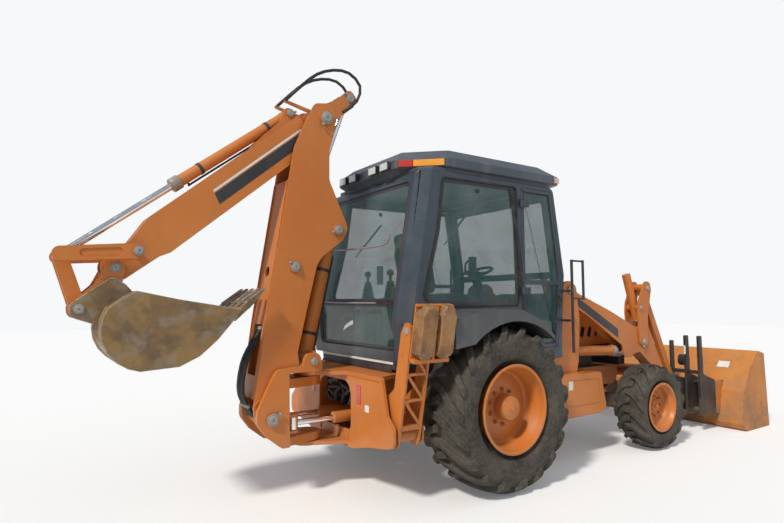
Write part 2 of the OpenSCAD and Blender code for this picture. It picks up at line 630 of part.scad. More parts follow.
function cross3(a, b) = [a[1] * b[2] - a[2] * b[1], a[2] * b[0] - a[0] * b[2], a[0] * b[1] - a[1] * b[0]];
// Smooth points through a chosen list, k steps between neighbours
function spline(p, k) = let (m = len(p)) [for (i = [0:m - 2], j = [0:(i == m - 2 ? k : k - 1)])
  let (t = j / k, a = p[max(i - 1, 0)], b = p[i], c = p[i + 1], d = p[min(i + 2, m - 1)])
  0.5 * ((2 * b) + (c - a) * t + (2 * a - 5 * b + 4 * c - d) * t * t + (3 * b - a - 3 * c + d) * t * t * t)];
module hose(points, r, n = 8) {
  q = spline(points, 2);
  m = len(q);
  rings = [for (i = [0:m - 1]) hose_ring(q[i], q[min(i + 1, m - 1)] - q[max(i - 1, 0)], r, n)];
  polyhedron([for (ring = rings) each ring],
    concat([[for (j = [0:n - 1]) j]], [[for (j = [n - 1:-1:0]) (m - 1) * n + j]],
      [for (i = [0:m - 2], j = [0:n - 1]) [i * n + j, (i + 1) * n + j, (i + 1) * n + (j + 1) % n, i * n + (j + 1) % n]]), convexity = 4);
}
hose_r = 13;
boom_hose_route = [[-1611.45, 1420], [-1632, 1280], [-1700, 1160], [-1770, 1010], [-1790, 800], [-1706, 622]];
module boom_hoses() {
  color(black) place() for (i = [0:3])
    hose([for (p = boom_hose_route) [p[0], -60 + 40 * i, p[1]]], hose_r);
}
module boom_barrel() { color(orange) place() ram_barrel(boom_base, boom_eye, 0, 62, 985, 32, 28, 220); }
module boom_rod() { color(chrome) place() ram_rod(boom_base, boom_eye, 0, 70, 32, 50, 200); }

// Dipper: the inner beam turns on the boom's head, the outer box slides along it
module along_dipper() { translate([head[0], 0, head[1]]) rotate([0, -dipper_angle, 0]) children(); }
beam_half = 78;
beam_low = -112;
beam_top = 92;
box_half = 110;
box_wall = 14;
box_low = beam_low - box_wall - 6;
box_top = box_low + dipper_h;
box_start = -175;
module dipper_base() {
  color(orange) place() along_dipper() difference() {
    union() {
      bar([0, 0], 82, -boom_half + boom_plate + side_gap, boom_half - boom_plate - side_gap);
      // Stays that carry the rear ends of the hoses
      pair() plate(88, 12) strap([-35, 85], [-192, 286], 16, 12);
      plate(0, 2 * beam_half) shape([[20, beam_low + 20, 0], [20, beam_top - 20, 0], [-140, beam_top, 20],
        [-1500, beam_top, 20], [-1500, beam_low, 20], [-140, beam_low, 20]]);
      for (y = [-82, 82]) plate(y, 22) shape([[-70, 60, 30], [-30, 120, 60], [225, 75, 20], [400, 80, 40],
        [410, -20, 50], [330, -60, 50], [150, -60, 60], [40, -80, 30], [-60, -60, 30]]);
    }
    bar([0, 0], 40 + pin_gap, -200, 200);
  }
}
module dipper() {
  color(orange) place() along_dipper() {
    difference() {
      plate(0, 2 * box_half) shape([[box_start, box_top, 10], [-1600, box_top, 0], [-1850, 70, 60], [-1850, -70, 60],
        [-1640, box_low, 0], [-480, box_low, 0], [-300, box_low, 0], [box_start, box_low + 30, 10]]);
      translate([-1640, -beam_half - 4, beam_low - 4]) cube([1640 + box_start + 20, 2 * beam_half + 8, beam_top - beam_low + 8]);
    }
    // Wear pads round the inner beam
    for (z = [beam_top + seat, beam_low - 4.5]) translate([-310, -60, z]) cube([120, 120, 4.2]);
    pair() translate([-310, beam_half + seat, -60]) cube([120, 4.2, 120]);
    difference() {
      pair() plate(box_half - 20, 40) shape([[-1700, 90, 0], [-1830, 85, 60], [-2050, 90, 80], [-2060, -60, 70],
        [-1980, -95, 60], [-1700, -110, 0]]);
      bar([tip_bucket, 0], 30, -150, 150);
      bar([tip_guide, 11], 26, -150, 150);
    }
    bar([tip_bucket, 0], 30, -box_half - 27, box_half + 27);
    bar([tip_guide, 11], 26, -box_half - 84, box_half + 84);
    // Lug of the bucket cylinder on the box
    pair() plate(60, 24) shape([[-700, box_top - 5, 0], [-640, box_top + 10, 40], [-330, box_top + 40, 60],
      [-215, box_top + 105, 40], [-165, box_top + 60, 30], [-185, box_top - 5, 0]]);
  }
  color(orange) place() bar(hoe_base, 26, -86, 86);
}
dipper_hose_route = [[-1500, 3080], [-1360, 3230], [-1230, 3350], [-1080, 3420], [-930, 3430], [-820, 3340], [-850, 3200],
  [-980, 3080]];
module dipper_hoses() {
  color(black) place() for (y = [-1, 1])
    hose([for (i = [0:7]) [dipper_hose_route[i][0], y * [107.3, 110, 111, 111, 111, 111, 110, 106.6][i], dipper_hose_route[i][1]]], hose_r);
}
module dipper_barrel() { color(orange) place() ram_barrel(mid_pin, ear, 0, 55, 860, 27, 32, 180); }
module dipper_rod() { color(chrome) place() ram_rod(mid_pin, ear, 0, 790, 27, 42, 130); }
module bucket_barrel() { color(orange) place() ram_barrel(hoe_base, apex_pin, 0, 42, 1105, 25, 26, 90); }
module bucket_rod() { color(chrome) place() ram_rod(hoe_base, apex_pin, 0, 1030, 25, 38, 80); }

// Bucket linkage: guide links outside, tip link between them
module guide_link() {
  color(orange) place() pair() difference() {
    plate(box_half + 65, 24) strap(guide_pin, apex_pin, 52, 46);
    bar(guide_pin, 26 + pin_gap, 0, 300);
    plate(box_half + 77, 12) strap(guide_pin * 0.75 + apex_pin * 0.25, guide_pin * 0.3 + apex_pin * 0.7, 26, 24);
  }
}
module tip_link() {
  color(orange) place() difference() {
    union() {
      pair() plate(85, 50) strap(coupler_pin, apex_pin, 46, 42);
      plate(0, 140) strap(coupler_pin * 0.68 + apex_pin * 0.32, coupler_pin * 0.45 + apex_pin * 0.55, 30, 29);
      bar(coupler_pin, 46, -box_half, box_half);
    }
    bar(coupler_pin, 26 + pin_gap, -300, 300);
  }
}
module hoe_coupler() {
  color(orange) place() pair() {
    difference() {
      plate(box_half + 14, 26) shape([[-2735, 1742, 45], [-2635, 1760, 45], [-2620, 1690, 40], [-2640, 1600, 40],
        [-2710, 1508, 20], [-2790, 1400, 20], [-2850, 1382, 40], [-2932, 1392, 50], [-2938, 1470, 50], [-2800, 1600, 60]]);
      bar(bucket_pin, 30 + pin_gap, 0, 400);
    }
    bar(coupler_pin, 26, 0, box_half + 26);
  }
}
// Points moved t to the left of the way along a chain
function beside(p, t) = [for (i = [0:len(p) - 1]) let (m = len(p) - 1,
  u = unit(p[min(i + 1, m)] - p[max(i, 0) == m ? m - 1 : i]), w = unit(p[i == 0 ? 1 : i] - p[i == 0 ? 0 : i - 1]),
  v = unit(u + w)) p[i] + t / max(0.5, u * v) * [-v[1], v[0]]];
module ribbon(p, t) { q = beside(p, t); polygon(concat(p, [for (i = [len(q) - 1:-1:0]) q[i]])); }
function arc(o, r, a, b, n) = [for (i = [0:n]) o + r * [cos(a + (b - a) * i / n), sin(a + (b - a) * i / n)]];
// Digging bucket: curved shell between two side plates, ears for the coupler, five teeth
hoe_shell = concat([[-2570, 1555], [-2690, 1480]], arc([-2500, 1310], 272, 150, 262, 7),
  [[-2300, 1056], [-2170, 1118], [-2050, 1225], [-1950, 1345], [-1890, 1430]]);
module hoe_bucket() {
  color(ochre) place() {
    plate(0, hoe_w) ribbon(hoe_shell, 20);
    pair() plate(hoe_w / 2 - 9, 18) polygon(concat([[-2310, 1500]], hoe_shell));
    pair() plate(box_half + 27 + seat + 12, 24) shape([[-2700, 1650, 40], [-2620, 1600, 30], [-2575, 1548, 0], [-2688, 1474, 0],
      [-2738, 1440, 0], [-2758, 1350, 0], [-2790, 1340, 30], [-2932, 1392, 50], [-2938, 1470, 50]]);
    for (i = [-2:2]) aim([-1960, 1350], [-1700, 1590], i * (hoe_w - 80) / 4) {
      translate([20, -32, -22]) cube([190, 64, 44]);
      translate([150, 0, 0]) rotate([90, 0, 0]) linear_extrude(54, center = true)
        polygon([[0, -26], [190, -3], [190, 5], [0, 30]]);
    }
  }
}

// Stabilizers: a leaning leg on a long pin, a flip-over pad, a cylinder in the frame
leg_x0 = -950;
leg_x1 = -760;
leg_top = 800;
pad_hinge = 770;
module on_leg() { translate([0, stab_y, stab_z]) rotate([-stab_lean, 0, 0]) children(); }
module leg() {
  color(orange) place() on_leg() difference() {
    union() {
      for (x = [leg_x0, leg_x1 - 16]) cross(x, 16) shape([[-66, -70, 60], [-62, 60, 20], [-150, 140, 40], [-150, 225, 40], [-58, 330, 60], [-52, leg_top - 60, 40],
        [-20, leg_top + 30, 40], [50, leg_top + 30, 40], [70, leg_top - 60, 40], [70, -20, 40], [60, -80, 50]]);
      rod_x(leg_x0, leg_x1, 0, 0, 46);
      difference() {
        translate([leg_x0 + 1, 54, 60]) cube([leg_x1 - leg_x0 - 2, 12, leg_top - 190]);
        for (i = [0:2]) translate([leg_x0 + 16, 0, 90 + 190 * i]) for (k = [0, 1]) rotate([90, 0, 0])
          translate([0, 0, -80]) linear_extrude(40) polygon(k == 0 ? [[4, 10], [4, 168], [136, 10]] : [[154, 22], [154, 180], [22, 180]]);
      }
      translate([leg_x0 + 1, 40, 60]) cube([16, 26, leg_top - 190]);
      translate([leg_x1 - 17, 40, 60]) cube([16, 26, leg_top - 190]);
      rod_x(leg_x0 - 8, leg_x1 + 8, 10, pad_hinge, 20);
    }
    rod_x(leg_x0 - 10, leg_x1 + 10, 0, 0, 26 + pin_gap);
  }
}
module leg_pad() {
  color(orange) place() on_leg() difference() {
    union() {
      rod_x(leg_x0 + 18, leg_x1 - 18, 10, pad_hinge, 38);
      translate([leg_x0 + 60, 10, pad_hinge - 30]) cube([70, 66, 60]);
      translate([leg_x0 + 2, 72, pad_hinge - 190]) cube([308, 14, 400]);
      translate([leg_x0 + 2, 80, pad_hinge - 200]) cube([308, 60, 30]);
    }
    rod_x(leg_x0, leg_x1, 10, pad_hinge, 20 + pin_gap);
  }
  color([0.45, 0.34, 0.22]) place() on_leg() for (x = [leg_x0 + 2, leg_x0 + 166])
    translate([x, 85, 0]) rotate([90, 0, 0]) mirror([0, 0, 1]) linear_extrude(95) polygon([[0, pad_hinge - 130],
      [40, pad_hinge - 168], [104, pad_hinge - 168], [144, pad_hinge - 130], [144, pad_hinge + 150], [104, pad_hinge + 214],
      [40, pad_hinge + 214], [0, pad_hinge + 150]]);
}
module stab_aim() { translate([stab_x, stab_base[0], stab_base[1]]) rotate([0, 0, 90]) rotate([0, -bearing(stab_base, stab_eye), 0]) children(); }
module stab_barrel() {
  color(orange) place() difference() {
    union() {
      stab_aim() rotate([0, 90, 0]) cylinder(r = 31, h = 430);
      stab_aim() translate([370, 0, 0]) rotate([0, 90, 0]) cylinder(r = 36, h = 60);
      rod_x(stab_x - 40, stab_x + 40, stab_base[0], stab_base[1], 30);
    }
    stab_aim() translate([45, 0, 0]) rotate([0, 90, 0]) cylinder(r = 18 + seat, h = 500);
    rod_x(stab_x - 80, stab_x + 80, stab_base[0], stab_base[1], 16 + pin_gap);
  }
}
module stab_rod() {
  color(chrome) place() {
    stab_aim() translate([52, 0, 0]) rotate([0, 90, 0]) cylinder(r = 18, h = norm(stab_eye - stab_base) - 70);
    rod_x(stab_x - 35, stab_x + 35, stab_eye[0], stab_eye[1], 34);
  }
}
module stabilizer_l() { leg(); }
module stabilizer_r() { mirror([0, 1, 0]) leg(); }
module stabilizer_pad_l() { leg_pad(); }
module stabilizer_pad_r() { mirror([0, 1, 0]) leg_pad(); }
module stabilizer_barrel_l() { stab_barrel(); }
module stabilizer_barrel_r() { mirror([0, 1, 0]) stab_barrel(); }
module stabilizer_rod_l() { stab_rod(); }
module stabilizer_rod_r() { mirror([0, 1, 0]) stab_rod(); }

// Loader arms, joined by a cross tube
arm_y = arm_in + arm_w / 2;
module loader_arms() {
  color(orange) place() {
    pair() difference() {
      union() {
        plate(arm_y, arm_w) shape([[1110, 1540, 60], [1135, 1665, 60], [1240, 1665, 60], [1330, 1562, 200],
          [1874, 1371, 400], [2344, 1180, 60], [2400, 1228, 60], [2540, 1225, 60], [2650, 1000, 100], [2985, 450, 40],
          [2992, 360, 60], [2900, 305, 60], [2810, 350, 60], [2665, 640, 100], [2575, 780, 120], [2370, 930, 80], [2245, 905, 40],
          [2210, 880, 50], [2100, 880, 50], [2060, 1010, 40], [1500, 1332, 300], [1260, 1436, 80]]);
        bar(knee, 30, arm_in - 20, arm_in + arm_w + 20);
      }
      bar(arm_pivot, 30 + pin_gap, 0, 900);
      bar(bucket_hinge, 28 + pin_gap, 0, 900);
      // Slots for the rods' eyes
      plate(arm_y, 102) shape([[2290, 1360, 0], [2400, 1110, 30], [2455, 1065, 20], [2530, 1045, 40],
        [2600, 1110, 30], [2700, 1360, 0]]);
      plate(arm_y, 102) shape([[1800, 870, 0], [1800, 1186, 0], [1900, 1150, 0], [2150, 1035, 60], [2250, 1010, 40], [2250, 870, 0]]);
    }
    bar([2660, 680], 70, -arm_in - 1, arm_in + 1);
  }
}
module lift_barrels() { color(orange) place() pair() ram_barrel(lift_base, lift_eye, arm_y, 50, 960, 28, 25, 120); }
module lift_rods() { color(chrome) place() pair() ram_rod(lift_base, lift_eye, arm_y, 300, 28, 40, 90); }
module bellcranks() {
  color(orange) place() pair() {
    difference() {
      for (y = [arm_in - 2 - 7.5, arm_in + arm_w + 2 + 7.5]) plate(y, 15) shape([[2362, 985, 60], [2335, 1360, 50],
        [2350, 1460, 50], [2440, 1620, 60], [2480, 1685, 60], [2580, 1690, 60], [2600, 1600, 60], [2520, 1300, 100],
        [2510, 985, 60]]);
      bar(knee, 30 + pin_gap, 0, 900);
      bar(trunnion, 20 + pin_gap, 0, 900);
    }
    plate(arm_y, arm_w + 6) shape([[2494, 1290, 0], [2506, 1395, 0], [2520, 1395, 0], [2508, 1290, 0]]);
    bar(crank_top, 24, arm_in - 14, arm_in + arm_w + 14);
  }
}
module tilt_links() {
  color(orange) place() pair() difference() {
    union() {
      plate(arm_y, 50) strap(crank_top, link_pin, 44, 38);
      bar(crank_top, 44, arm_in - 1, arm_in + arm_w + 1);
      bar(link_pin, 38, arm_y - 30, arm_y + 30);
    }
    bar(crank_top, 24 + pin_gap, 0, 900);
  }
}
module tilt_barrels() {
  color(orange) place() pair() difference() {
    union() {
      aim(trunnion, tilt_eye, arm_y) translate([-380, 0, 0]) rotate([0, 90, 0]) cylinder(r = 44, h = 517);
      bar(trunnion, 20, arm_in - 14, arm_in + arm_w + 14);
      bar(trunnion, 34, arm_in + 1, arm_in + arm_w - 1);
    }
    aim(trunnion, tilt_eye, arm_y) translate([-200, 0, 0]) rotate([0, 90, 0]) cylinder(r = 24 + seat, h = 400);
  }
}
module tilt_rods() {
  color(chrome) place() pair() {
    aim(trunnion, tilt_eye, arm_y) translate([-110, 0, 0]) rotate([0, 90, 0]) cylinder(r = 24,
      h = norm(tilt_eye - trunnion) + 90);
    bar(tilt_eye, 35, arm_y - 40, arm_y + 40);
  }
}

// Loader coupler: ears at the arms and links, posts and cross tubes, on the bucket's back
module loader_coupler() {
  color(black) place() {
    pair() {
      for (y = [arm_in - 2 - 8, arm_in + arm_w + 2 + 8]) plate(y, 16) shape([[2835, 330, 50], [2835, 470, 50],
        [3040, 640, 50], [3130, 600, 40], [3300, 560, 0], [3300, 200, 0], [2960, 310, 40]]);
      bar(bucket_hinge, 28, arm_in - 22, arm_in + arm_w + 22);
      for (y = [690, 840]) plate(y, 26) shape([[3175, 190, 10], [3175, 1075, 15], [3240, 1075, 15], [3250, 640, 30],
        [3500, 560, 20], [3500, 170, 10]]);
      plate(445, 24) shape([[3310, 190, 10], [3310, 1000, 15], [3370, 1000, 15], [3375, 560, 10], [3500, 520, 10],
        [3500, 170, 10]]);
      plate(630, 30) strap([3290, 240], [3290, 245], 20, 19);
      bar([3230, 790], 62, 604, 678);
      bar([3230, 790], 30, 602, 700);
    }
    bar([3330, 545], 30, -853, 853);
    bar([3330, 225], 30, -853, 853);
    translate([3230, -853, 640]) cube([14, 1706, 40]);
  }
}
// Loader bucket: lip and floor on the ground, curved back, two side plates
loader_shell = [[4215, 0], [3690, 0], [3620, 25], [3580, 80], [3572, 160], [3588, 260], [3628, 440], [3755, 625],
  [3905, 785], [4035, 880], [4165, 845]];
module loader_bucket() {
  color(orange) place() {
    plate(0, bucket_w) ribbon(loader_shell, -bucket_t);
    pair() plate(bucket_w / 2 - 9, 18) polygon(loader_shell);
    plate(0, bucket_w) polygon([[4215, 0], [4215, 12], [4190, 30], [4020, 30], [4020, 0]]);
    pair() for (y = [690, 840]) plate(y, 30) polygon([[3500 + seat, 180], [3500 + seat, 540], [3690, 545], [3628, 440],
      [3588, 260], [3576, 180]]);
  }
}

chassis();
engine();
axles();
cab_shell();
cab_roof();
cab_glass();
fenders();
seat();
controls();
lamps();
grille();
handrails();
swing_barrels();
hood();
door_r();
door_l();
knuckle_r();
knuckle_l();
rear_wheel_r();
rear_wheel_l();
front_wheel_r();
front_wheel_l();
swing_tower();
swing_rod_r();
swing_rod_l();
boom();
boom_hoses();
boom_barrel();
boom_rod();
dipper_base();
dipper_hoses();
dipper_barrel();
dipper_rod();
dipper();
bucket_barrel();
bucket_rod();
guide_link();
tip_link();
hoe_coupler();
hoe_bucket();
stabilizer_r();
stabilizer_l();
stabilizer_pad_r();
stabilizer_pad_l();
stabilizer_barrel_r();
stabilizer_barrel_l();
stabilizer_rod_r();
stabilizer_rod_l();
loader_arms();
lift_barrels();
lift_rods();
bellcranks();
tilt_links();
tilt_barrels();
tilt_rods();
loader_coupler();
loader_bucket();
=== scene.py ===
import math

import bmesh
import bpy
import numpy as np
from mathutils import Matrix, Vector


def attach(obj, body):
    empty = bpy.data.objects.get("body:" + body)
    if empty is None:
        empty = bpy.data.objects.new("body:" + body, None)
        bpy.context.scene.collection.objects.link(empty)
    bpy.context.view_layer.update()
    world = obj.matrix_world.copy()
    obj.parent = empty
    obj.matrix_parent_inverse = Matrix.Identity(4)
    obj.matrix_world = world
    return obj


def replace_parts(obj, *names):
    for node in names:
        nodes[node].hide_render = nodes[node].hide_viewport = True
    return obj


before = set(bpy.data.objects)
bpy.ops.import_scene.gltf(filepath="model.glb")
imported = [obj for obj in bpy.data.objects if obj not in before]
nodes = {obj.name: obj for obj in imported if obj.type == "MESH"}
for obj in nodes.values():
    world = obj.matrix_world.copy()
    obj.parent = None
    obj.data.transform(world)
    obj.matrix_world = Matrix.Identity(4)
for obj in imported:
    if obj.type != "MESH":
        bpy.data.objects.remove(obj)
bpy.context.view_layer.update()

# Backhoe loader. The CAD nodes keep their meshes and get worn materials here; wheels, doors, pads, lamps,
# seat and hoses are made again in finer form, and fasteners, seals, welds and fittings are added.
originX = 587  # the rear axle's distance behind the origin, in millimetres
print("frame loaded:", len(nodes), "nodes")


# A machine point in millimetres from the rear axle, as metres in the frame: (p - origin) / 1000
def at(x, y, z):
    return np.stack(np.broadcast_arrays((np.asarray(x, float) - originX) / 1000,
                                        np.asarray(y, float) / 1000, np.asarray(z, float) / 1000), -1)


def unit(v):
    v = np.asarray(v, float)
    return v / np.linalg.norm(v, axis=-1, keepdims=True)


# Two directions square to an axis: the axis crossed with the world axis it leans on least, then crossed again
def squareTo(axis):
    axis = unit(axis)
    helper = np.eye(3)[int(np.argmin(np.abs(axis)))]
    u = unit(np.cross(axis, helper))
    return u, np.cross(axis, u)


# Quads of a grid of rows by columns; row i, column j is point i * columns + j, and a closed side wraps round
def gridFaces(rows, columns, closedRows=False, closedColumns=False):
    i, j = np.meshgrid(np.arange(rows if closedRows else rows - 1),
                       np.arange(columns if closedColumns else columns - 1), indexing="ij")
    k, m = (i + 1) % rows, (j + 1) % columns
    quads = np.stack([i * columns + j, i * columns + m, k * columns + m, k * columns + j], -1)
    return quads.reshape(-1, 4).tolist()


# A profile of radius r and distance a along an axis, turned: centre + a * axis + r * (cos t * u + sin t * v)
def lathe(profile, centre, axis, steps=48, closed=False):
    profile = np.asarray(profile, float)
    u, v = squareTo(axis)
    t = np.arange(steps) * 2 * math.pi / steps
    ring = np.cos(t)[:, None] * u + np.sin(t)[:, None] * v
    points = (np.asarray(centre, float) + profile[:, 1, None, None] * unit(axis)
              + profile[:, 0, None, None] * ring[None]).reshape(-1, 3)
    return points, gridFaces(len(profile), steps, closed, True)


# Catmull-Rom curve through points: the usual cubic blend of four neighbours, whole array at once
def smoothPath(points, steps=6):
    p = np.asarray(points, float)
    q = np.vstack([2 * p[:1] - p[1:2], p, 2 * p[-1:] - p[-2:-1]])
    t = (np.arange(steps) / steps)[None, :, None]
    a, b, c, d = q[:-3, None], q[1:-2, None], q[2:-1, None], q[3:, None]
    curve = 0.5 * (2 * b + (c - a) * t + (2 * a - 5 * b + 4 * c - d) * t ** 2 + (3 * b - a - 3 * c + d) * t ** 3)
    return np.vstack([curve.reshape(-1, p.shape[1]), p[-1:]])


# A round tube along a path: path + r * (cos t * side + sin t * up), side square to the way and to the direction
# in which the path is flattest
def tube(path, radius, sides=10):
    path = np.asarray(path, float)
    way = unit(np.gradient(path, axis=0))
    flat = np.linalg.eigh(way.T @ way)[1][:, 0]
    side = unit(np.cross(way, flat) + 1e-9)
    up = np.cross(side, way)
    t = np.arange(sides) * 2 * math.pi / sides
    r = np.broadcast_to(np.asarray(radius, float), (len(path),))[:, None, None]
    ring = np.cos(t)[None, :, None] * side[:, None] + np.sin(t)[None, :, None] * up[:, None]
    ends = [list(range(sides))[::-1], list(range((len(path) - 1) * sides, len(path) * sides))]
    return (path[:, None] + r * ring).reshape(-1, 3), gridFaces(len(path), sides, False, True) + ends


# A flat outline pushed along a vector: the outline, its copy at + push, and a wall of quads between them
def slab(outline, push):
    low = np.asarray(outline, float)
    n = len(low)
    k = np.arange(n)
    wall = np.stack([k, (k + 1) % n, (k + 1) % n + n, k + n], -1).tolist()
    return np.vstack([low, low + push]), wall + [k[::-1].tolist(), (k + n).tolist()]


def box(low, high):
    (x0, y0, z0), (x1, y1, z1) = low, high
    return slab([[x0, y0, z0], [x1, y0, z0], [x1, y1, z0], [x0, y1, z0]], [0, 0, z1 - z0])


# Corner rows of [x, z, radius] made into an outline with arcs: each arc's centre lies on the corner's bisector
def rounded(rows, steps=6):
    rows = [list(r) for r in rows]
    out = []
    for i, (x, z, r) in enumerate(rows):
        b = np.array([x, z], float)
        if r == 0:
            out.append(b[None])
            continue
        u = unit(np.array(rows[i - 1][:2], float) - b)
        w = unit(np.array(rows[(i + 1) % len(rows)][:2], float) - b)
        half = math.acos(max(-1, min(1, float(u @ w)))) / 2
        o = b + unit(u + w) * r / math.sin(half)
        s, e = b + u * r / math.tan(half) - o, b + w * r / math.tan(half) - o
        a0, a1 = math.atan2(s[1], s[0]), math.atan2(e[1], e[0])
        a = a0 + ((a1 - a0 + 5 * math.pi) % (2 * math.pi) - math.pi) * np.arange(steps + 1) / steps
        out.append(o + r * np.stack([np.cos(a), np.sin(a)], -1))
    return np.vstack(out)


# An outline moved inward by a distance along the mean of its two edge normals
def inset(outline, distance):
    p = np.asarray(outline, float)
    area = np.sum(p[:, 0] * np.roll(p[:, 1], -1) - np.roll(p[:, 0], -1) * p[:, 1])
    way = unit(np.roll(p, -1, 0) - p)
    normal = np.stack([-way[:, 1], way[:, 0]], -1) * (1 if area > 0 else -1)
    mean = unit(normal + np.roll(normal, 1, 0))
    lengthen = 1 / np.clip(np.sum(mean * normal, -1, keepdims=True), 0.5, 1)
    return p + mean * distance * lengthen


# A side-view outline as points on plane y, in millimetres
def onSide(outline, y):
    return np.stack([outline[:, 0], np.full(len(outline), float(y)), outline[:, 1]], -1)


# A ring along an outline: a four-cornered profile between two insets and two planes
def frameRing(outline, outer, inner, y0, y1):
    a, b = inset(outline, outer), inset(outline, inner)
    rows = [onSide(a, y0), onSide(b, y0), onSide(b, y1), onSide(a, y1)]
    return np.vstack(rows), gridFaces(4, len(outline), True, True)


# Forms drawn in machine millimetres, moved to the frame
def placed(forms):
    return [(at(*np.asarray(points).T), faces) for points, faces in forms]


# The left side's copy of forms: y becomes -y, and each face's corners are taken the other way round
def mirrored(forms):
    return [(points * [1, -1, 1], [face[::-1] for face in faces]) for points, faces in forms]


def bothSides(forms):
    right = placed(forms)
    return right + mirrored(right)


# One piece of several closed forms: normals outward, edges past the sharp angle split, then body and slot
def makePiece(name, forms, body, material, sharp=35, bevel=0.0):
    points, faces, start = [], [], 0
    for formPoints, formFaces in forms:
        points.append(formPoints)
        faces += [[start + k for k in face] for face in formFaces]
        start += len(formPoints)
    mesh = bpy.data.meshes.new(name)
    mesh.from_pydata(np.vstack(points).tolist(), [], faces)
    mesh.polygons.foreach_set("use_smooth", [True] * len(faces))
    work = bmesh.new()
    work.from_mesh(mesh)
    bmesh.ops.recalc_face_normals(work, faces=work.faces)
    work.to_mesh(mesh)
    work.free()
    mesh.set_sharp_from_angle(angle=math.radians(sharp))
    mesh.materials.append(material)
    piece = bpy.data.objects.new(name, mesh)
    bpy.context.scene.collection.objects.link(piece)
    if bevel:
        rim = piece.modifiers.new("edges", "BEVEL")
        rim.width, rim.segments = bevel, 2
        rim.limit_method, rim.angle_limit = "ANGLE", math.radians(40)
        rim.harden_normals = True
    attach(piece, body)
    return piece


# A material's node tree, built by short calls that take and give sockets
class Recipe:
    def __init__(self, name):
        self.material = bpy.data.materials.new(name)
        self.material.use_nodes = True
        self.tree = self.material.node_tree
        self.shader = self.tree.nodes["Principled BSDF"]
        self.place = self.add("ShaderNodeTexCoord").outputs["Object"]

    def add(self, kind, **settings):
        node = self.tree.nodes.new(kind)
        for key, value in settings.items():
            setattr(node, key, value)
        return node

    def link(self, output, socket):
        self.tree.links.new(output, socket)

    def put(self, socket, value):
        if isinstance(value, bpy.types.NodeSocket):
            self.link(value, socket)
        else:
            socket.default_value = value

    # Noise on the object's place, stretched by a scale for each axis
    def noise(self, scale, detail=4.0, roughness=0.55, stretch=(1, 1, 1), warp=0.0, shift=(0, 0, 0)):
        mapping = self.add("ShaderNodeMapping")
        mapping.inputs["Scale"].default_value = stretch
        mapping.inputs["Location"].default_value = shift
        self.link(self.place, mapping.inputs["Vector"])
        texture = self.add("ShaderNodeTexNoise")
        texture.inputs["Scale"].default_value = scale
        texture.inputs["Detail"].default_value = detail
        texture.inputs["Roughness"].default_value = roughness
        texture.inputs["Distortion"].default_value = warp
        self.link(mapping.outputs["Vector"], texture.inputs["Vector"])
        return texture.outputs["Fac"]

    # A value spread from its own range to 0..1 or to another
    def spread(self, value, low, high, to=(0.0, 1.0)):
        node = self.add("ShaderNodeMapRange")
        self.put(node.inputs["Value"], value)
        node.inputs["From Min"].default_value, node.inputs["From Max"].default_value = low, high
        node.inputs["To Min"].default_value, node.inputs["To Max"].default_value = to
        return node.outputs["Result"]

    def maths(self, operation, a, b=0.0):
        node = self.add("ShaderNodeMath", operation=operation)
        node.use_clamp = operation in ("ADD", "MULTIPLY")
        self.put(node.inputs[0], a)
        self.put(node.inputs[1], b)
        return node.outputs[0]

    # A colour as a socket takes it: another node's output, or three numbers with an alpha of 1
    def colour(self, value):
        return value if isinstance(value, bpy.types.NodeSocket) else (*value, 1.0)

    def mix(self, factor, a, b):
        node = self.add("ShaderNodeMix", data_type="RGBA")
        self.put(node.inputs[0], factor)
        self.put(node.inputs[6], self.colour(a))
        self.put(node.inputs[7], self.colour(b))
        return node.outputs[2]

    def height(self):
        split = self.add("ShaderNodeSeparateXYZ")
        self.link(self.place, split.inputs[0])
        return split.outputs["Z"]

    # Where an edge is near: one less the dot product of the true normal and the normal of a bevelled corner
    def edge(self, radius):
        bevel = self.add("ShaderNodeBevel", samples=6)
        bevel.inputs["Radius"].default_value = radius
        dot = self.add("ShaderNodeVectorMath", operation="DOT_PRODUCT")
        self.link(bevel.outputs["Normal"], dot.inputs[0])
        self.link(self.add("ShaderNodeNewGeometry").outputs["Normal"], dot.inputs[1])
        return self.spread(dot.outputs["Value"], 0.995, 0.86)

    # Fine relief over softly rounded edges
    def relief(self, height, strength, distance=0.002, edgeRadius=0.0):
        bump = self.add("ShaderNodeBump")
        bump.inputs["Strength"].default_value = strength
        bump.inputs["Distance"].default_value = distance
        self.link(height, bump.inputs["Height"])
        if edgeRadius:
            bevel = self.add("ShaderNodeBevel", samples=4)
            bevel.inputs["Radius"].default_value = edgeRadius
            self.link(bevel.outputs["Normal"], bump.inputs["Normal"])
        self.link(bump.outputs["Normal"], self.shader.inputs["Normal"])

    def finish(self, colour, roughness, metallic=0.0, coat=0.0, specular=0.5):
        self.put(self.shader.inputs["Base Color"], self.colour(colour))
        self.put(self.shader.inputs["Roughness"], roughness)
        self.put(self.shader.inputs["Metallic"], metallic)
        self.shader.inputs["Coat Weight"].default_value = coat
        self.shader.inputs["Coat Roughness"].default_value = 0.25
        self.shader.inputs["Specular IOR Level"].default_value = specular
        return self.material


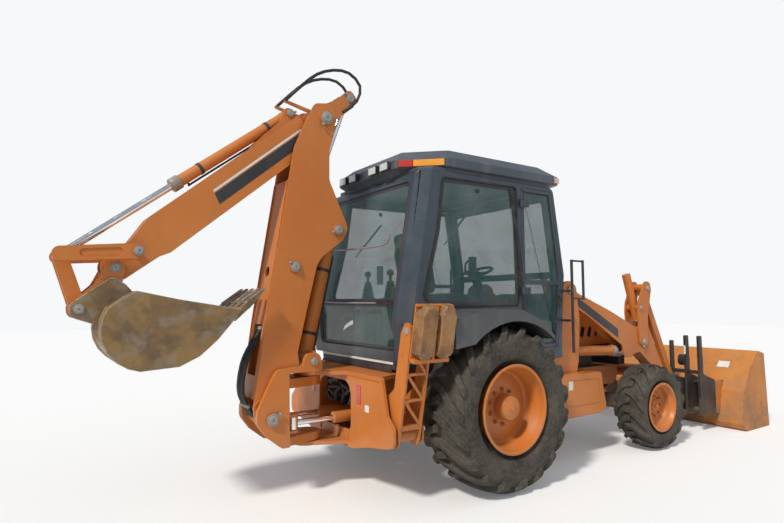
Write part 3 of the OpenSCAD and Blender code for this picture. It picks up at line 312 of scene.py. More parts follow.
# Weathered paint: colour faded in clouds, rain streaks, mud low down, chips to primer and rust at the edges
def wornPaint(name, **changes):
    look = {**orangeLook, **changes}
    m = Recipe(name)
    clouds = m.spread(m.noise(look["cloudScale"], 5), 0.38, 0.68)
    colour = m.mix(m.maths("MULTIPLY", clouds, look["fade"]), look["colour"], look["faded"])
    streaks = m.spread(m.noise(5.0, 5, 0.6, (1.6, 1.6, 0.22)), 0.52, 0.74)
    colour = m.mix(m.maths("MULTIPLY", streaks, look["streaks"]), colour, look["streakColour"])
    mud = m.spread(m.noise(3.4, 7, 0.65), 0.40, 0.66)
    low = m.spread(m.height(), look["mudTop"], 0.05)
    mud = m.maths("MULTIPLY", m.maths("MULTIPLY", mud, low), look["mud"])
    colour = m.mix(mud, colour, look["mudColour"])
    nicks = m.spread(m.noise(34.0, 6, 0.7), look["nickFrom"], look["nickFrom"] + 0.05)
    patches = m.spread(m.noise(2.1, 3, 0.5, shift=(3, 1, 7)), 0.46, 0.62)
    broken = m.spread(m.noise(16.0, 6, 0.65), 0.46, 0.58)
    chipped = m.maths("MULTIPLY", m.maths("MULTIPLY", m.edge(look["edgeRadius"]), broken), look["edgeWear"])
    worn = m.maths("ADD", chipped, m.maths("MULTIPLY", m.maths("MULTIPLY", nicks, patches), look["nicks"]))
    rust = m.mix(m.spread(m.noise(60.0, 3), 0.35, 0.65), look["rust"], look["rustDark"])
    colour = m.mix(worn, colour, rust)
    dull = m.spread(m.noise(9.0, 6), 0.3, 0.7, (look["rough"] - 0.07, look["rough"] + 0.10))
    rough = m.maths("ADD", dull, m.maths("MULTIPLY", m.maths("ADD", worn, mud), 0.35))
    grain = m.maths("SUBTRACT", m.noise(160.0, 2), m.maths("MULTIPLY", worn, 1.5))
    m.relief(grain, look["grain"], 0.0012, look["softEdge"])
    return m.finish(colour, rough, coat=look["coat"], specular=0.45)


# The machine's orange, and what every other paint changes of it
orangeLook = {
    "colour": (0.52, 0.148, 0.020), "faded": (0.58, 0.205, 0.043), "fade": 0.7, "cloudScale": 1.3,
    "streaks": 0.30, "streakColour": (0.34, 0.15, 0.055), "mud": 0.55, "mudTop": 0.75,
    "mudColour": (0.30, 0.20, 0.12), "nicks": 0.55, "nickFrom": 0.655, "edgeWear": 0.8, "edgeRadius": 0.006,
    "softEdge": 0.003, "rust": (0.24, 0.115, 0.05), "rustDark": (0.12, 0.065, 0.04), "rough": 0.42,
    "grain": 0.16, "coat": 0.12,
}
orangePaint = wornPaint("orangePaint")
workedOrange = wornPaint("workedOrange", nicks=0.9, nickFrom=0.60, edgeWear=1.0, edgeRadius=0.011, streaks=0.5,
                         mud=0.8, rough=0.5)
bucketOrange = wornPaint("bucketOrange", colour=(0.52, 0.170, 0.026), faded=(0.58, 0.25, 0.060), nicks=0.9,
                         nickFrom=0.585, edgeWear=1.0, edgeRadius=0.014, streaks=0.6, mud=1.0, mudTop=0.95,
                         mudColour=(0.25, 0.16, 0.10), rough=0.55, coat=0.0)
rimOrange = wornPaint("rimOrange", fade=0.35, mud=0.5, mudTop=1.1, mudColour=(0.36, 0.22, 0.12), streaks=0.2,
                      nicks=0.3)
cabPaint = wornPaint("cabPaint", colour=(0.030, 0.042, 0.058), faded=(0.060, 0.077, 0.098), fade=0.5,
                     streakColour=(0.16, 0.15, 0.14), streaks=0.25, mud=0.4, mudTop=1.6,
                     mudColour=(0.22, 0.17, 0.12), nicks=0.1, edgeWear=0.25, rust=(0.16, 0.12, 0.10), rough=0.33,
                     coat=0.2)
roofPaint = wornPaint("roofPaint", colour=(0.045, 0.056, 0.070), faded=(0.105, 0.120, 0.135), fade=0.6,
                      streakColour=(0.20, 0.20, 0.20), mud=0.0, nicks=0.05, edgeWear=0.1,
                      rust=(0.16, 0.14, 0.13), rough=0.38, softEdge=0.012, coat=0.1)
blackPaint = wornPaint("blackPaint", colour=(0.022, 0.022, 0.025), faded=(0.05, 0.048, 0.046), fade=0.6,
                       streakColour=(0.12, 0.09, 0.07), streaks=0.4, mud=0.7, mudColour=(0.22, 0.15, 0.10),
                       nicks=0.4, edgeWear=0.7, rough=0.45, coat=0.0)
ironPaint = wornPaint("ironPaint", colour=(0.045, 0.040, 0.038), faded=(0.11, 0.085, 0.065), fade=0.9,
                      streakColour=(0.03, 0.026, 0.023), streaks=0.7, mud=0.9, mudTop=1.2,
                      mudColour=(0.20, 0.14, 0.09), nicks=0.3, edgeWear=0.5, rough=0.55, coat=0.0)
fenderMoulding = wornPaint("fenderMoulding", colour=(0.058, 0.062, 0.068), faded=(0.095, 0.098, 0.10), fade=0.6,
                           streakColour=(0.16, 0.14, 0.12), streaks=0.35, mudTop=1.7,
                           mudColour=(0.20, 0.16, 0.12), nicks=0.05, edgeWear=0.15, rust=(0.17, 0.16, 0.15),
                           rustDark=(0.12, 0.11, 0.10), rough=0.46, softEdge=0.008, coat=0.0)


# Digging bucket: thin old paint over rust, ground bright where soil slides
def groundSteel(name, look):
    m = Recipe(name)
    clouds = m.spread(m.noise(4.0, 7, 0.62, warp=0.4), 0.42, 0.60)
    colour = m.mix(clouds, look["paint"], look["rust"])
    scrape = m.spread(m.noise(7.0, 6, 0.6, (1.0, 0.35, 1.0), shift=(2, 5, 1)), 0.50, 0.64)
    colour = m.mix(m.maths("MULTIPLY", scrape, look["scrape"]), colour, look["bare"])
    soil = m.spread(m.noise(11.0, 6, 0.7, shift=(9, 2, 4)), 0.54, 0.70)
    colour = m.mix(m.maths("MULTIPLY", soil, 0.7), colour, look["soil"])
    ground = m.maths("MULTIPLY", m.edge(0.012), m.spread(m.noise(20.0, 5), 0.35, 0.55))
    colour = m.mix(ground, colour, look["bright"])
    rough = m.spread(scrape, 0.0, 1.0, (0.68, 0.42))
    m.relief(m.maths("ADD", m.noise(70.0, 6, 0.7), scrape), 0.35, 0.003, 0.005)
    return m.finish(colour, rough, m.spread(ground, 0.0, 1.0, (0.05, 0.7)), specular=0.4)


bucketSteel = groundSteel("bucketSteel", {
    "paint": (0.27, 0.165, 0.060), "rust": (0.145, 0.092, 0.050), "bare": (0.25, 0.20, 0.145),
    "soil": (0.115, 0.083, 0.058), "bright": (0.50, 0.44, 0.37), "scrape": 0.75})
padBlock = groundSteel("padBlock", {
    "paint": (0.33, 0.165, 0.062), "rust": (0.17, 0.086, 0.038), "bare": (0.40, 0.225, 0.10),
    "soil": (0.13, 0.085, 0.06), "bright": (0.50, 0.35, 0.20), "scrape": 0.6})


# Ground cylinder rod: bright chrome with a thin oily veil
def chromeRod():
    m = Recipe("chromeRod")
    veil = m.spread(m.noise(14.0, 6, 0.6, (1, 1, 1)), 0.46, 0.72)
    m.relief(m.noise(220.0, 2), 0.04, 0.0005)
    colour = m.mix(m.maths("MULTIPLY", veil, 0.35), (0.80, 0.81, 0.83), (0.50, 0.45, 0.38))
    return m.finish(colour, m.spread(veil, 0.0, 1.0, (0.12, 0.34)), 1.0)


# Tyre rubber: grey-brown dust lies in the clouds, on the lugs' tops it is rubbed to a paler tan
def tyreRubber():
    m = Recipe("tyreRubber")
    dust = m.spread(m.noise(5.5, 7, 0.66), 0.34, 0.66)
    colour = m.mix(dust, (0.022, 0.021, 0.019), (0.090, 0.078, 0.060))
    fine = m.spread(m.noise(42.0, 5, 0.7), 0.46, 0.68)
    colour = m.mix(m.maths("MULTIPLY", fine, 0.5), colour, (0.135, 0.115, 0.088))
    rubbed = m.maths("MULTIPLY", m.edge(0.010), 0.5)
    colour = m.mix(rubbed, colour, (0.125, 0.108, 0.085))
    m.relief(m.maths("ADD", m.noise(120.0, 5, 0.6), fine), 0.28, 0.002, 0.004)
    return m.finish(colour, m.spread(dust, 0.0, 1.0, (0.70, 0.93)), specular=0.3)


# Black rubber or plastic under thin dust
def plainRubber(name, colour, rough):
    m = Recipe(name)
    dust = m.spread(m.noise(12.0, 6, 0.6), 0.42, 0.74)
    m.relief(m.noise(260.0, 3), 0.12, 0.001)
    dusty = m.mix(m.maths("MULTIPLY", dust, 0.45), colour, (0.13, 0.11, 0.09))
    return m.finish(dusty, m.spread(dust, 0.0, 1.0, (rough, rough + 0.3)), specular=0.4)


# Tinted pane with a light film of dust in clouds
def pane(name, tint, alpha, rough=0.02):
    m = Recipe(name)
    film = m.spread(m.noise(2.6, 5, 0.6), 0.40, 0.75)
    colour = m.mix(m.maths("MULTIPLY", film, 0.25), tint, (0.35, 0.36, 0.34))
    material = m.finish(colour, m.spread(film, 0.0, 1.0, (rough, rough + 0.06)), specular=0.8)
    m.put(m.shader.inputs["Alpha"], m.spread(film, 0.0, 1.0, (alpha, min(1.0, alpha + 0.10))))
    m.shader.inputs["Coat Weight"].default_value = 0.6
    m.shader.inputs["Coat Roughness"].default_value = 0.03
    material.surface_render_method = "BLENDED"
    return material


# Ribbed lens: waves across its height, and a pale film
def lensPlastic(name, colour, rough=0.12):
    m = Recipe(name)
    ribs = m.add("ShaderNodeTexWave", wave_type="BANDS", bands_direction="Z")
    ribs.inputs["Scale"].default_value = 60.0
    m.link(m.place, ribs.inputs["Vector"])
    film = m.spread(m.noise(18.0, 4), 0.40, 0.75)
    m.relief(ribs.outputs["Fac"], 0.15, 0.001)
    filmed = m.mix(m.maths("MULTIPLY", film, 0.3), colour, tuple(0.6 * c + 0.08 for c in colour))
    return m.finish(filmed, rough, coat=0.6)


# Woven cover: two crossed wave textures make the threads
def wovenCover(name, colour, accent):
    m = Recipe(name)
    threads = []
    for direction in ("X", "Z"):
        wave = m.add("ShaderNodeTexWave", wave_type="BANDS", bands_direction=direction)
        wave.inputs["Scale"].default_value = 190.0
        wave.inputs["Distortion"].default_value = 0.6
        m.link(m.place, wave.inputs["Vector"])
        threads.append(wave.outputs["Fac"])
    weave = m.maths("MULTIPLY", threads[0], threads[1])
    worn = m.spread(m.noise(6.0, 5), 0.45, 0.70)
    m.relief(weave, 0.5, 0.0012)
    pale = m.maths("ADD", m.maths("MULTIPLY", weave, 0.4), m.maths("MULTIPLY", worn, 0.3))
    material = m.finish(m.mix(pale, colour, accent), 0.92, specular=0.2)
    m.shader.inputs["Sheen Weight"].default_value = 0.25
    return material


chrome = chromeRod()
rubber = tyreRubber()
hoseRubber = plainRubber("hoseRubber", (0.016, 0.016, 0.017), 0.42)
sealRubber = plainRubber("sealRubber", (0.012, 0.012, 0.013), 0.55)
blackPlastic = plainRubber("blackPlastic", (0.024, 0.025, 0.027), 0.40)
cabGlass = pane("cabGlass", (0.045, 0.110, 0.105), 0.33)
lampGlass = lensPlastic("lampGlass", (0.62, 0.63, 0.62))
redLens = lensPlastic("redLens", (0.50, 0.025, 0.018))
amberLens = lensPlastic("amberLens", (0.85, 0.33, 0.03))
markerLens = lensPlastic("markerLens", (0.70, 0.42, 0.34))
greyTube = wornPaint("greyTube", colour=(0.17, 0.165, 0.155), faded=(0.26, 0.24, 0.21), mud=0.0, nicks=0.3,
                     rough=0.4)
copperFitting = wornPaint("copperFitting", colour=(0.46, 0.13, 0.05), faded=(0.36, 0.20, 0.11), nicks=0.2,
                          mud=0.2, rough=0.4)
paleCover = wovenCover("paleCover", (0.20, 0.20, 0.19), (0.32, 0.31, 0.29))
seatCover = wovenCover("seatCover", (0.035, 0.036, 0.040), (0.085, 0.085, 0.09))
steelBolt = wornPaint("steelBolt", colour=(0.34, 0.33, 0.32), faded=(0.26, 0.22, 0.19), fade=0.8,
                      streakColour=(0.18, 0.11, 0.07), mud=0.3, nicks=0.3, edgeWear=0.2, rough=0.42)
whiteLabel = wornPaint("whiteLabel", colour=(0.74, 0.73, 0.70), faded=(0.58, 0.56, 0.51),
                       streakColour=(0.45, 0.38, 0.30), mud=0.2, nicks=0.15, edgeWear=0.1, rough=0.5)
blackBand = wornPaint("blackBand", colour=(0.02, 0.02, 0.023), faded=(0.06, 0.055, 0.05),
                      streakColour=(0.10, 0.07, 0.05), mud=0.0, nicks=0.3, edgeWear=0.3, rough=0.4)
print("materials made")

# Which CAD nodes wear which material
looks = [
    (orangePaint, ["hood", "swing_barrels", "swing_tower", "boom", "boom_barrel", "dipper_base", "dipper_barrel",
                   "dipper", "bucket_barrel", "guide_link", "tip_link", "hoe_coupler", "stabilizer_barrel_r",
                   "stabilizer_barrel_l", "loader_arms", "lift_barrels", "bellcranks", "tilt_links",
                   "tilt_barrels", "knuckle_r", "knuckle_l", "chassis"]),
    (workedOrange, ["stabilizer_r", "stabilizer_l", "stabilizer_pad_r", "stabilizer_pad_l"]),
    (bucketOrange, ["loader_bucket"]), (bucketSteel, ["hoe_bucket"]), (roofPaint, ["cab_roof"]),
    (cabPaint, ["cab_shell", "door_r", "door_l"]), (cabGlass, ["cab_glass"]), (fenderMoulding, ["fenders"]),
    (ironPaint, ["engine", "axles"]), (blackPaint, ["loader_coupler", "handrails"]),
    (blackPlastic, ["controls", "grille"]), (lampGlass, ["lamps"]), (seatCover, ["seat"]),
    (rubber, ["rear_wheel_r", "rear_wheel_l", "front_wheel_r", "front_wheel_l"]),
    (hoseRubber, ["boom_hoses", "dipper_hoses"]),
    (chrome, ["swing_rod_r", "swing_rod_l", "boom_rod", "dipper_rod", "bucket_rod", "stabilizer_rod_r",
              "stabilizer_rod_l", "lift_rods", "tilt_rods"]),
]
for material, members in looks:
    for member in members:
        nodes[member].data.materials.clear()
        nodes[member].data.materials.append(material)
print("nodes painted")

# Wheels

rearWheel = {"centre": (0, 860, 650), "radius": 650, "width": 490, "bead": 330, "lugs": 19, "lugHeight": 38,
             "bar": 30, "hub": 98, "reach": 0.345, "nuts": 10, "nutRing": 136, "nut": 14}
frontWheel = {"centre": (2170, 850, 415), "radius": 415, "width": 310, "bead": 228, "lugs": 15, "lugHeight": 28,
              "bar": 24, "hub": 66, "reach": 0.20, "nuts": 8, "nutRing": 100, "nut": 11}
tread = {"sectionPower": 0.62, "crownPower": 0.72, "lean": 0.30, "shoulder": (0.36, 0.50), "ridge": 4.0}


# Tyre section by s from -1 to 1: y = half width * sin, r from bead to crown, a flattened super-circle
def carcass(s, wheel):
    crown = wheel["radius"] - wheel["lugHeight"]
    a = np.asarray(s) * 2.55
    y = wheel["width"] / 2 * 0.985 * np.sign(np.sin(a)) * np.abs(np.sin(a)) ** tread["sectionPower"]
    middle = (crown + wheel["bead"]) / 2 + 8
    r = middle + (crown - middle) * np.sign(np.cos(a)) * np.abs(np.cos(a)) ** tread["crownPower"]
    return y, np.maximum(r, wheel["bead"] - 2)


# One lug bar along s, leaning round the wheel: a raised section of six points carried over the carcass
def lugBars(wheel, side, shift):
    crown = wheel["radius"] - wheel["lugHeight"]
    bend, end = tread["shoulder"]
    s = np.linspace(-0.035, end, 22)
    y, r = carcass(s * side, wheel)
    y1, r1 = carcass((s + 0.01) * side, wheel)
    normal = unit(np.stack([-(r1 - r), (y1 - y)], -1)) * side
    lean = np.clip(s / bend, -1, 1.15) * tread["lean"] * (650 / wheel["radius"]) ** 0.25
    fall = np.clip((s - bend) / (end - bend), 0, 1) ** 1.5 * 0.92
    rise = wheel["lugHeight"] * np.clip(1.0 - fall, 0.04, 1)
    widths = wheel["bar"] * (1.0 + 0.35 * np.clip(s / 0.4, 0, 1))
    across = np.array([-1.35, -1.0, -0.80, 0.80, 1.0, 1.35])
    lift = np.array([-0.12, 0.55, 1.0, 1.0, 0.55, -0.12])
    turns = (np.arange(wheel["lugs"]) + shift) * 2 * math.pi / wheel["lugs"]
    yy = y[:, None] + normal[:, 0, None] * rise[:, None] * lift
    rr = np.minimum(r[:, None] + normal[:, 1, None] * rise[:, None] * lift, wheel["radius"] - 0.4)
    angle = turns[:, None, None] + lean[None, :, None] + (across * widths[:, None] / crown)[None]
    points = np.stack([rr * np.cos(angle), np.broadcast_to(yy, angle.shape), rr * np.sin(angle)], -1)
    last = (len(s) - 1) * 6
    one = gridFaces(len(s), 6) + [[5, 4, 3, 2, 1, 0], list(range(last, last + 6))]
    one += [[k, k + 6, k + 11, k + 5] for k in range(0, last, 6)]
    faces = [[lug * len(s) * 6 + k for k in face] for lug in range(wheel["lugs"]) for face in one]
    return points.reshape(-1, 3), faces


# The carcass turned about its axle, with a ridge on each side wall, and its two rows of lugs
def tyreForms(wheel):
    y, r = carcass(np.linspace(-1, 1, 61), wheel)
    inner = np.array([[wheel["bead"] - 4, y[-1] * 0.9], [wheel["bead"] - 4, y[0] * 0.9]])
    profile = np.vstack([np.stack([r, y], -1), inner])
    profile[[9, 51], 0] += tread["ridge"]
    return [lathe(profile, (0, 0, 0), (0, 1, 0), 120, True), lugBars(wheel, 1, 0.0), lugBars(wheel, -1, 0.5)]


# Nuts stand in a ring: six-sided turned forms on washers, at equal angles
def ringOfNuts(centre, axis, ringRadius, count, size, tall):
    u, v = squareTo(axis)
    washer = [(size * 1.25, 0), (size * 1.25, tall * 0.18), (0.01, tall * 0.18)]
    nut = [(size, 0), (size, tall * 0.8), (size * 0.86, tall), (size * 0.5, tall), (size * 0.5, tall * 1.5),
           (0.01, tall * 1.5)]
    forms = []
    for k in range(count):
        a = 2 * math.pi * k / count
        place = np.asarray(centre, float) + ringRadius * (math.cos(a) * u + math.sin(a) * v)
        forms += [lathe(washer, place, axis, 16), lathe(nut, place, axis, 6)]
    return forms


# Rim section from its outer lip inward over the dished disc to the hub, then back along the inner side
def rimSection(wheel):
    w, b, h, reach = wheel["width"], wheel["bead"], wheel["hub"], wheel["reach"] * wheel["width"]
    lip = [(b - 2, 0.40 * w), (b + 12, 0.43 * w), (b + 14, 0.455 * w), (b + 2, 0.465 * w), (b - 10, 0.45 * w),
           (b - 16, 0.41 * w), (b - 20, 0.34 * w), (b - 34, 0.30 * w), (b - 38, 0.16 * w)]
    disc = [(b - 46, 0.115 * w), (b - 62, 0.095 * w), (b - 92, 0.105 * w), (h + 62, 0.135 * w),
            (h + 30, 0.135 * w), (h + 12, 0.13 * w)]
    hub = [(h + 2, 0.15 * w), (h - 2, reach - 14), (h - 10, reach), (h * 0.62, reach + 4), (h * 0.5, reach + 12),
           (0.01, reach + 12)]
    inside = [(0.01, -6), (h, -6), (b - 70, 0.02 * w), (b - 50, 0), (b - 40, -0.40 * w), (b + 10, -0.44 * w),
              (b + 10, -0.46 * w), (b - 2, -0.46 * w), (b - 2, -0.40 * w), (b - 26, -0.2 * w), (b - 26, 0.2 * w)]
    return np.array(lip + disc + hub + inside)


# Places a wheel's forms, made round the Y axis with the outside toward -y, at the right or left hub
def atHub(forms, wheel, sign):
    x, y, z = wheel["centre"]
    return [(at(p[:, 0] + x, sign * (y - p[:, 1]), p[:, 2] + z), f) for p, f in forms]


for wheelName, wheel in (("rear", rearWheel), ("front", frontWheel)):
    outward = (0, -1, 0)
    tyreParts = tyreForms(wheel)
    rimParts = [lathe(rimSection(wheel), (0, 0, 0), outward, 96, True)]
    capFoot = wheel["reach"] * wheel["width"] + 10
    nutFoot, valveFoot = -0.135 * wheel["width"], (0, -0.11 * wheel["width"], wheel["bead"] - 78)
    fasteners = ringOfNuts((0, nutFoot, 0), outward, wheel["nutRing"], wheel["nuts"], wheel["nut"], 20)
    fasteners.append(lathe([(24, 0), (24, 8), (18, 12), (0.01, 12)], (0, -capFoot, 0), outward, 24))
    fasteners.append(lathe([(7, 0), (7, 34), (4, 40), (0.01, 40)], valveFoot, outward, 10))
    for side, sign, body in (("r", -1, f"{wheelName}_wheel_right"), ("l", 1, f"{wheelName}_wheel_left")):
        tyrePiece = makePiece(f"{wheelName}Tyre_{side}", atHub(tyreParts, wheel, sign), body, rubber, 50)
        rimPiece = makePiece(f"{wheelName}Rim_{side}", atHub(rimParts, wheel, sign), body,
                             rimOrange, 40)
        makePiece(f"{wheelName}Nuts_{side}", atHub(fasteners, wheel, sign), body, rimOrange, 40)
        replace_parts(tyrePiece, f"{wheelName}_wheel_{side}")
        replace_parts(rimPiece, f"{wheelName}_wheel_{side}")
print("wheels made")


# Pin end seen from the side: washer, chamfered head with a centre hole, and a keeper bolt beside it
def pinEnd(x, z, y, radius, keeper=None):
    outward = (0, -1 if y < 0 else 1, 0)
    head = [(radius * 1.42, 0), (radius * 1.42, 5), (radius * 1.36, 6.5), (radius, 6.5), (radius, 15),
            (radius * 0.9, 18), (radius * 0.3, 18), (radius * 0.26, 12), (0.01, 12)]
    bolt = [(radius * 0.5, 0), (radius * 0.5, 6), (radius * 0.36, 6), (radius * 0.36, 15), (radius * 0.28, 17),
            (0.01, 17)]
    forms = [lathe(head, (x, y, z), outward, 40)]
    if keeper is not None:
        a, away = math.radians(keeper), radius * 1.95
        forms.append(lathe(bolt, (x + away * math.cos(a), y, z + away * math.sin(a)), outward, 6))
    return forms


# Weld bead: a thin tube whose radius ripples along its length like laid beads
def weld(points, radius=4.5):
    points = np.asarray(points, float)
    lengths = np.concatenate([[0], np.cumsum(np.linalg.norm(np.diff(points, axis=0), axis=1))])
    stations = np.arange(0, lengths[-1], 7.0)
    path = np.stack([np.interp(stations, lengths, points[:, k]) for k in range(3)], -1)
    return tube(path, radius * (1 + 0.13 * np.sin(stations * 0.9)), 6)


# Doors: frame ring, pane, cross bar, hinges and seals; the outline is the cab's door opening
door = {"outline": [[455, 1300, 60], [455, 2485, 20], [850, 2485, 40], [965, 1720, 80], [915, 1150, 40],
                    [915, 1062, 20], [730, 1062, 40], [610, 1100, 60]],
        "y": -738, "bar": (480, 934, 1625, 1665), "hinge": (444, -768), "hingeHeights": (1540, 2310),
        "hingeTall": (1.2, 58.8), "hingePlates": ((456, 534, -774, -763), (466, 534, -764, -749)),
        "screws": (508, -774), "handle": (924, 1480),
        "grip": [(-16, -45), (-46, -36), (-50, 0), (-46, 36), (-16, 45)]}
doorOutline = rounded(door["outline"], 8)
doorY = door["y"]
barStart, barEnd, barLow, barHigh = door["bar"]
doorForms = [frameRing(doorOutline, 3, 32, doorY - 12, doorY + 12),
             box((barStart, doorY - 13, barLow), (barEnd, doorY + 11, barHigh))]
hingeFoot, hingeTop = door["hingeTall"]
for z in door["hingeHeights"]:
    knuckle = [(8.6, hingeFoot), (15, hingeFoot), (15, hingeTop), (8.6, hingeTop)]
    doorForms.append(lathe(knuckle, (*door["hinge"], z), (0, 0, 1), 28, True))
    doorForms += [box((xa, ya, z + hingeFoot), (xb, yb, z + hingeTop)) for xa, xb, ya, yb in door["hingePlates"]]
    screw = [(9, 0), (9, 5), (5, 7), (0.01, 7)]
    doorForms += [lathe(screw, (*door["screws"], z + up), (0, -1, 0), 6) for up in (15, 45)]
doorPane = [slab(onSide(inset(doorOutline, 30), doorY - 4), [0, 8, 0])]
doorSeal = [frameRing(doorOutline, 28, 42, doorY - 7.5, doorY + 7.5)]
handleX, handleZ = door["handle"]
grip = [(handleX, doorY + y, handleZ + z) for y, z in door["grip"]]
doorHandle = [box((handleX - 16, doorY - 20, handleZ - 60), (handleX + 16, doorY - 11, handleZ + 60)),
              tube(smoothPath(grip, 5), 8, 10)]
for side, body, sided in (("r", "door_right", lambda forms: forms), ("l", "door_left", mirrored)):
    framePiece = makePiece(f"doorFrame_{side}", sided(placed(doorForms)), body, cabPaint, 35, 0.003)
    panePiece = makePiece(f"doorPane_{side}", sided(placed(doorPane)), body, cabGlass)
    makePiece(f"doorSeal_{side}", sided(placed(doorSeal)), body, sealRubber)
    makePiece(f"doorHandle_{side}", sided(placed(doorHandle)), body, blackPlastic, 40, 0.002)
    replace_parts(framePiece, f"door_{side}")
    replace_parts(panePiece, f"door_{side}")
print("doors made")

# Stabilizer pads: two worn blocks on an orange carrier, on the folded leg. "hinge" is the pad's pin up the leg,
# "legX", "legY" and "legZ" the leg's foot, "lean" its angle outward in degrees, "from" and "to" the blocks'
# faces; a row of "carrier" is a box's range along the leg's x, outward and up
pad = {"hinge": 770, "lean": 11.7, "legX": -950, "legY": 800, "legZ": 520, "blockStarts": (2, 166), "from": 85,
       "to": 180, "chip": 7.0,
       "block": [[0, -130], [40, -168], [104, -168], [144, -130], [144, 150], [104, 214], [40, 214], [0, 150]],
       "carrier": [(2, 310, 72, 86, -190, 210), (2, 310, 80, 140, -200, -171), (2, 310, 84, 118, 196, 210),
                   (60, 130, 10, 74, -30, 30), (147, 165, 84, 150, -172, -90), (147, 165, 84, 140, 60, 198)]}


# Leg coordinates to the frame: turned outward about the fore-and-aft axis by the lean
def fromLeg(forms, sign):
    c, k = math.cos(math.radians(pad["lean"])), math.sin(math.radians(pad["lean"]))
    return [(at(x, sign * (pad["legY"] + y * c + z * k), pad["legZ"] - y * k + z * c), faces)
            for (x, y, z), faces in ((points.T, faces) for points, faces in forms)]


# Soft value noise as a sum of slanted sine waves with seeded directions
def ripple(points, wavelength, seed, waves=14):
    rng = np.random.default_rng(seed)
    ways = unit(rng.normal(size=(waves, 3))) * (2 * math.pi / wavelength) * rng.uniform(0.7, 1.6, (waves, 1))
    return np.sin(points @ ways.T + rng.uniform(0, 6.28, waves)).sum(-1) / math.sqrt(waves)


# Worn block: rings of the outline shrunk toward its middle on both faces, rims bevelled and knocked in by noise
def wornBlock(outline, y0, y1, seed):
    outline = np.asarray(outline, float)
    following = np.roll(outline, -1, 0)
    dense = np.vstack([np.linspace(a, b, 14, endpoint=False) for a, b in zip(outline, following)])
    middle = dense.mean(0)
    shrink = np.array([0, 0.35, 0.65, 0.86, 0.95, 0.99, 1, 1, 1, 1, 1, 0.985, 0.955, 0.9, 0.8, 0.55, 0.28, 0])
    depth = np.array([0, 0, 0, 0, 0, 0.01, 0.05, 0.2, 0.4, 0.6, 0.78, 0.88, 0.95, 0.985, 1, 1, 1, 1])
    rows = middle + (dense - middle)[None] * shrink[:, None, None]
    flat = np.broadcast_to((depth * (y1 - y0) + y0)[:, None], rows.shape[:2])
    points = np.stack([rows[..., 0], flat, rows[..., 1]], -1).reshape(-1, 3)
    rim = np.exp(-((shrink - 0.96) / 0.06) ** 2)[:, None] * np.ones(len(dense))
    rough = np.abs(ripple(points, 60, seed)) * 0.6 + np.abs(ripple(points, 22, seed + 1)) * 0.4
    core = np.array([middle[0], (y0 + y1) / 2, middle[1]])
    points = points - unit(points - core) * (pad["chip"] * rough * (0.25 + rim.reshape(-1)))[:, None]
    points[:, 1] = np.clip(points[:, 1], y0 + 0.5, y1)
    return points, gridFaces(len(shrink), len(dense), False, True)


h, x0 = pad["hinge"], pad["legX"]
blocks = [wornBlock([[x0 + start + px, h + pz] for px, pz in pad["block"]], pad["from"], pad["to"], 11 + start)
          for start in pad["blockStarts"]]
carrier = [box((x0 + ax, ay, h + az), (x0 + bx, by, h + bz)) for ax, bx, ay, by, az, bz in pad["carrier"]]
carrier.append(lathe([(20.4, 0), (38, 0), (38, 154), (20.4, 154)], (x0 + 18, 10, h), (1, 0, 0), 40, True))
pinHead = [(27, 0), (27, 5), (21, 8.4), (0.01, 8.4)]
padPins = [lathe(pinHead, (x0, 10, h), (-1, 0, 0), 32), lathe(pinHead, (x0 + 190, 10, h), (1, 0, 0), 32)]
for side, sign, place in (("r", -1, "right"), ("l", 1, "left")):
    body, paint = f"pad_{place}", "orange_paint"
    blockPiece = makePiece(f"padBlocks_{side}", fromLeg(blocks, sign), body, padBlock, 28)
    carrierPiece = makePiece(f"padCarrier_{side}", fromLeg(carrier, sign), body, workedOrange, 30, 0.004)
    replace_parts(blockPiece, f"stabilizer_pad_{side}")
    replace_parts(carrierPiece, f"stabilizer_pad_{side}")
    makePiece(f"padPins_{side}", fromLeg(padPins, sign), f"stabilizer_{place}", steelBolt)
print("pads made")

# Pin ends on every jointed plate: (x, z, outer face's y, pin radius, keeper's bearing in degrees, body)
pinRows = [(-1620, 615, 220, 34, 35, "swing_frame"), (-1285, 1020, 212, 22, None, "swing_frame"),
           (-1430, 1750, 165, 28, 140, "boom"), (-1050, 2065, 165, 28, 200, "boom"),
           (-1165, 2980, 169, 36, 240, "boom"), (-905, 3215, 93, 30, 150, "dipper_beam"),
           (-1450, 2990, 86, 22, 20, "dipper_box"),
           (-2549.9, 1819.8, 194, 24, None, "dipper_box"), (-2679.5, 1709.2, 137, 24, None, "dipper_box"),
           (-2880, 1440, 161.6, 22, None, "digging_bucket"), (1200, 1580, 679, 28, 60, "machine"),
           (1040, 1000, 671, 22, 200, "machine"), (2430, 1030, 655, 26, 250, "loader_arms"),
           (2530, 1615, 652.5, 20, None, "bellcranks"), (2390, 1400, 652.5, 16, None, "tilt_cylinders"),
           (2900, 400, 657, 24, 200, "loader_bucket")]
pinForms = {}
for x, z, y, radius, keeper, body in pinRows:
    pinForms.setdefault(body, []).extend(pinEnd(x, z, -y, radius, keeper))
for body, forms in pinForms.items():
    makePiece(f"pinEnds_{body}", bothSides(forms), body, steelBolt)
print("pins made")

# A ring or plate drawn on the plane of a sloping pane: lengths run from one side-view point to the other,
# and the form's middle coordinate becomes the distance along the plane's normal
def onPane(form, ends):
    points, faces = form
    low, way = np.array(ends[0], float), unit(np.subtract(ends[1], ends[0]))
    x = low[0] + points[:, 0] * way[0] - points[:, 1] * way[1]
    z = low[1] + points[:, 0] * way[1] + points[:, 1] * way[0]
    return np.stack([x, points[:, 2], z], -1), faces


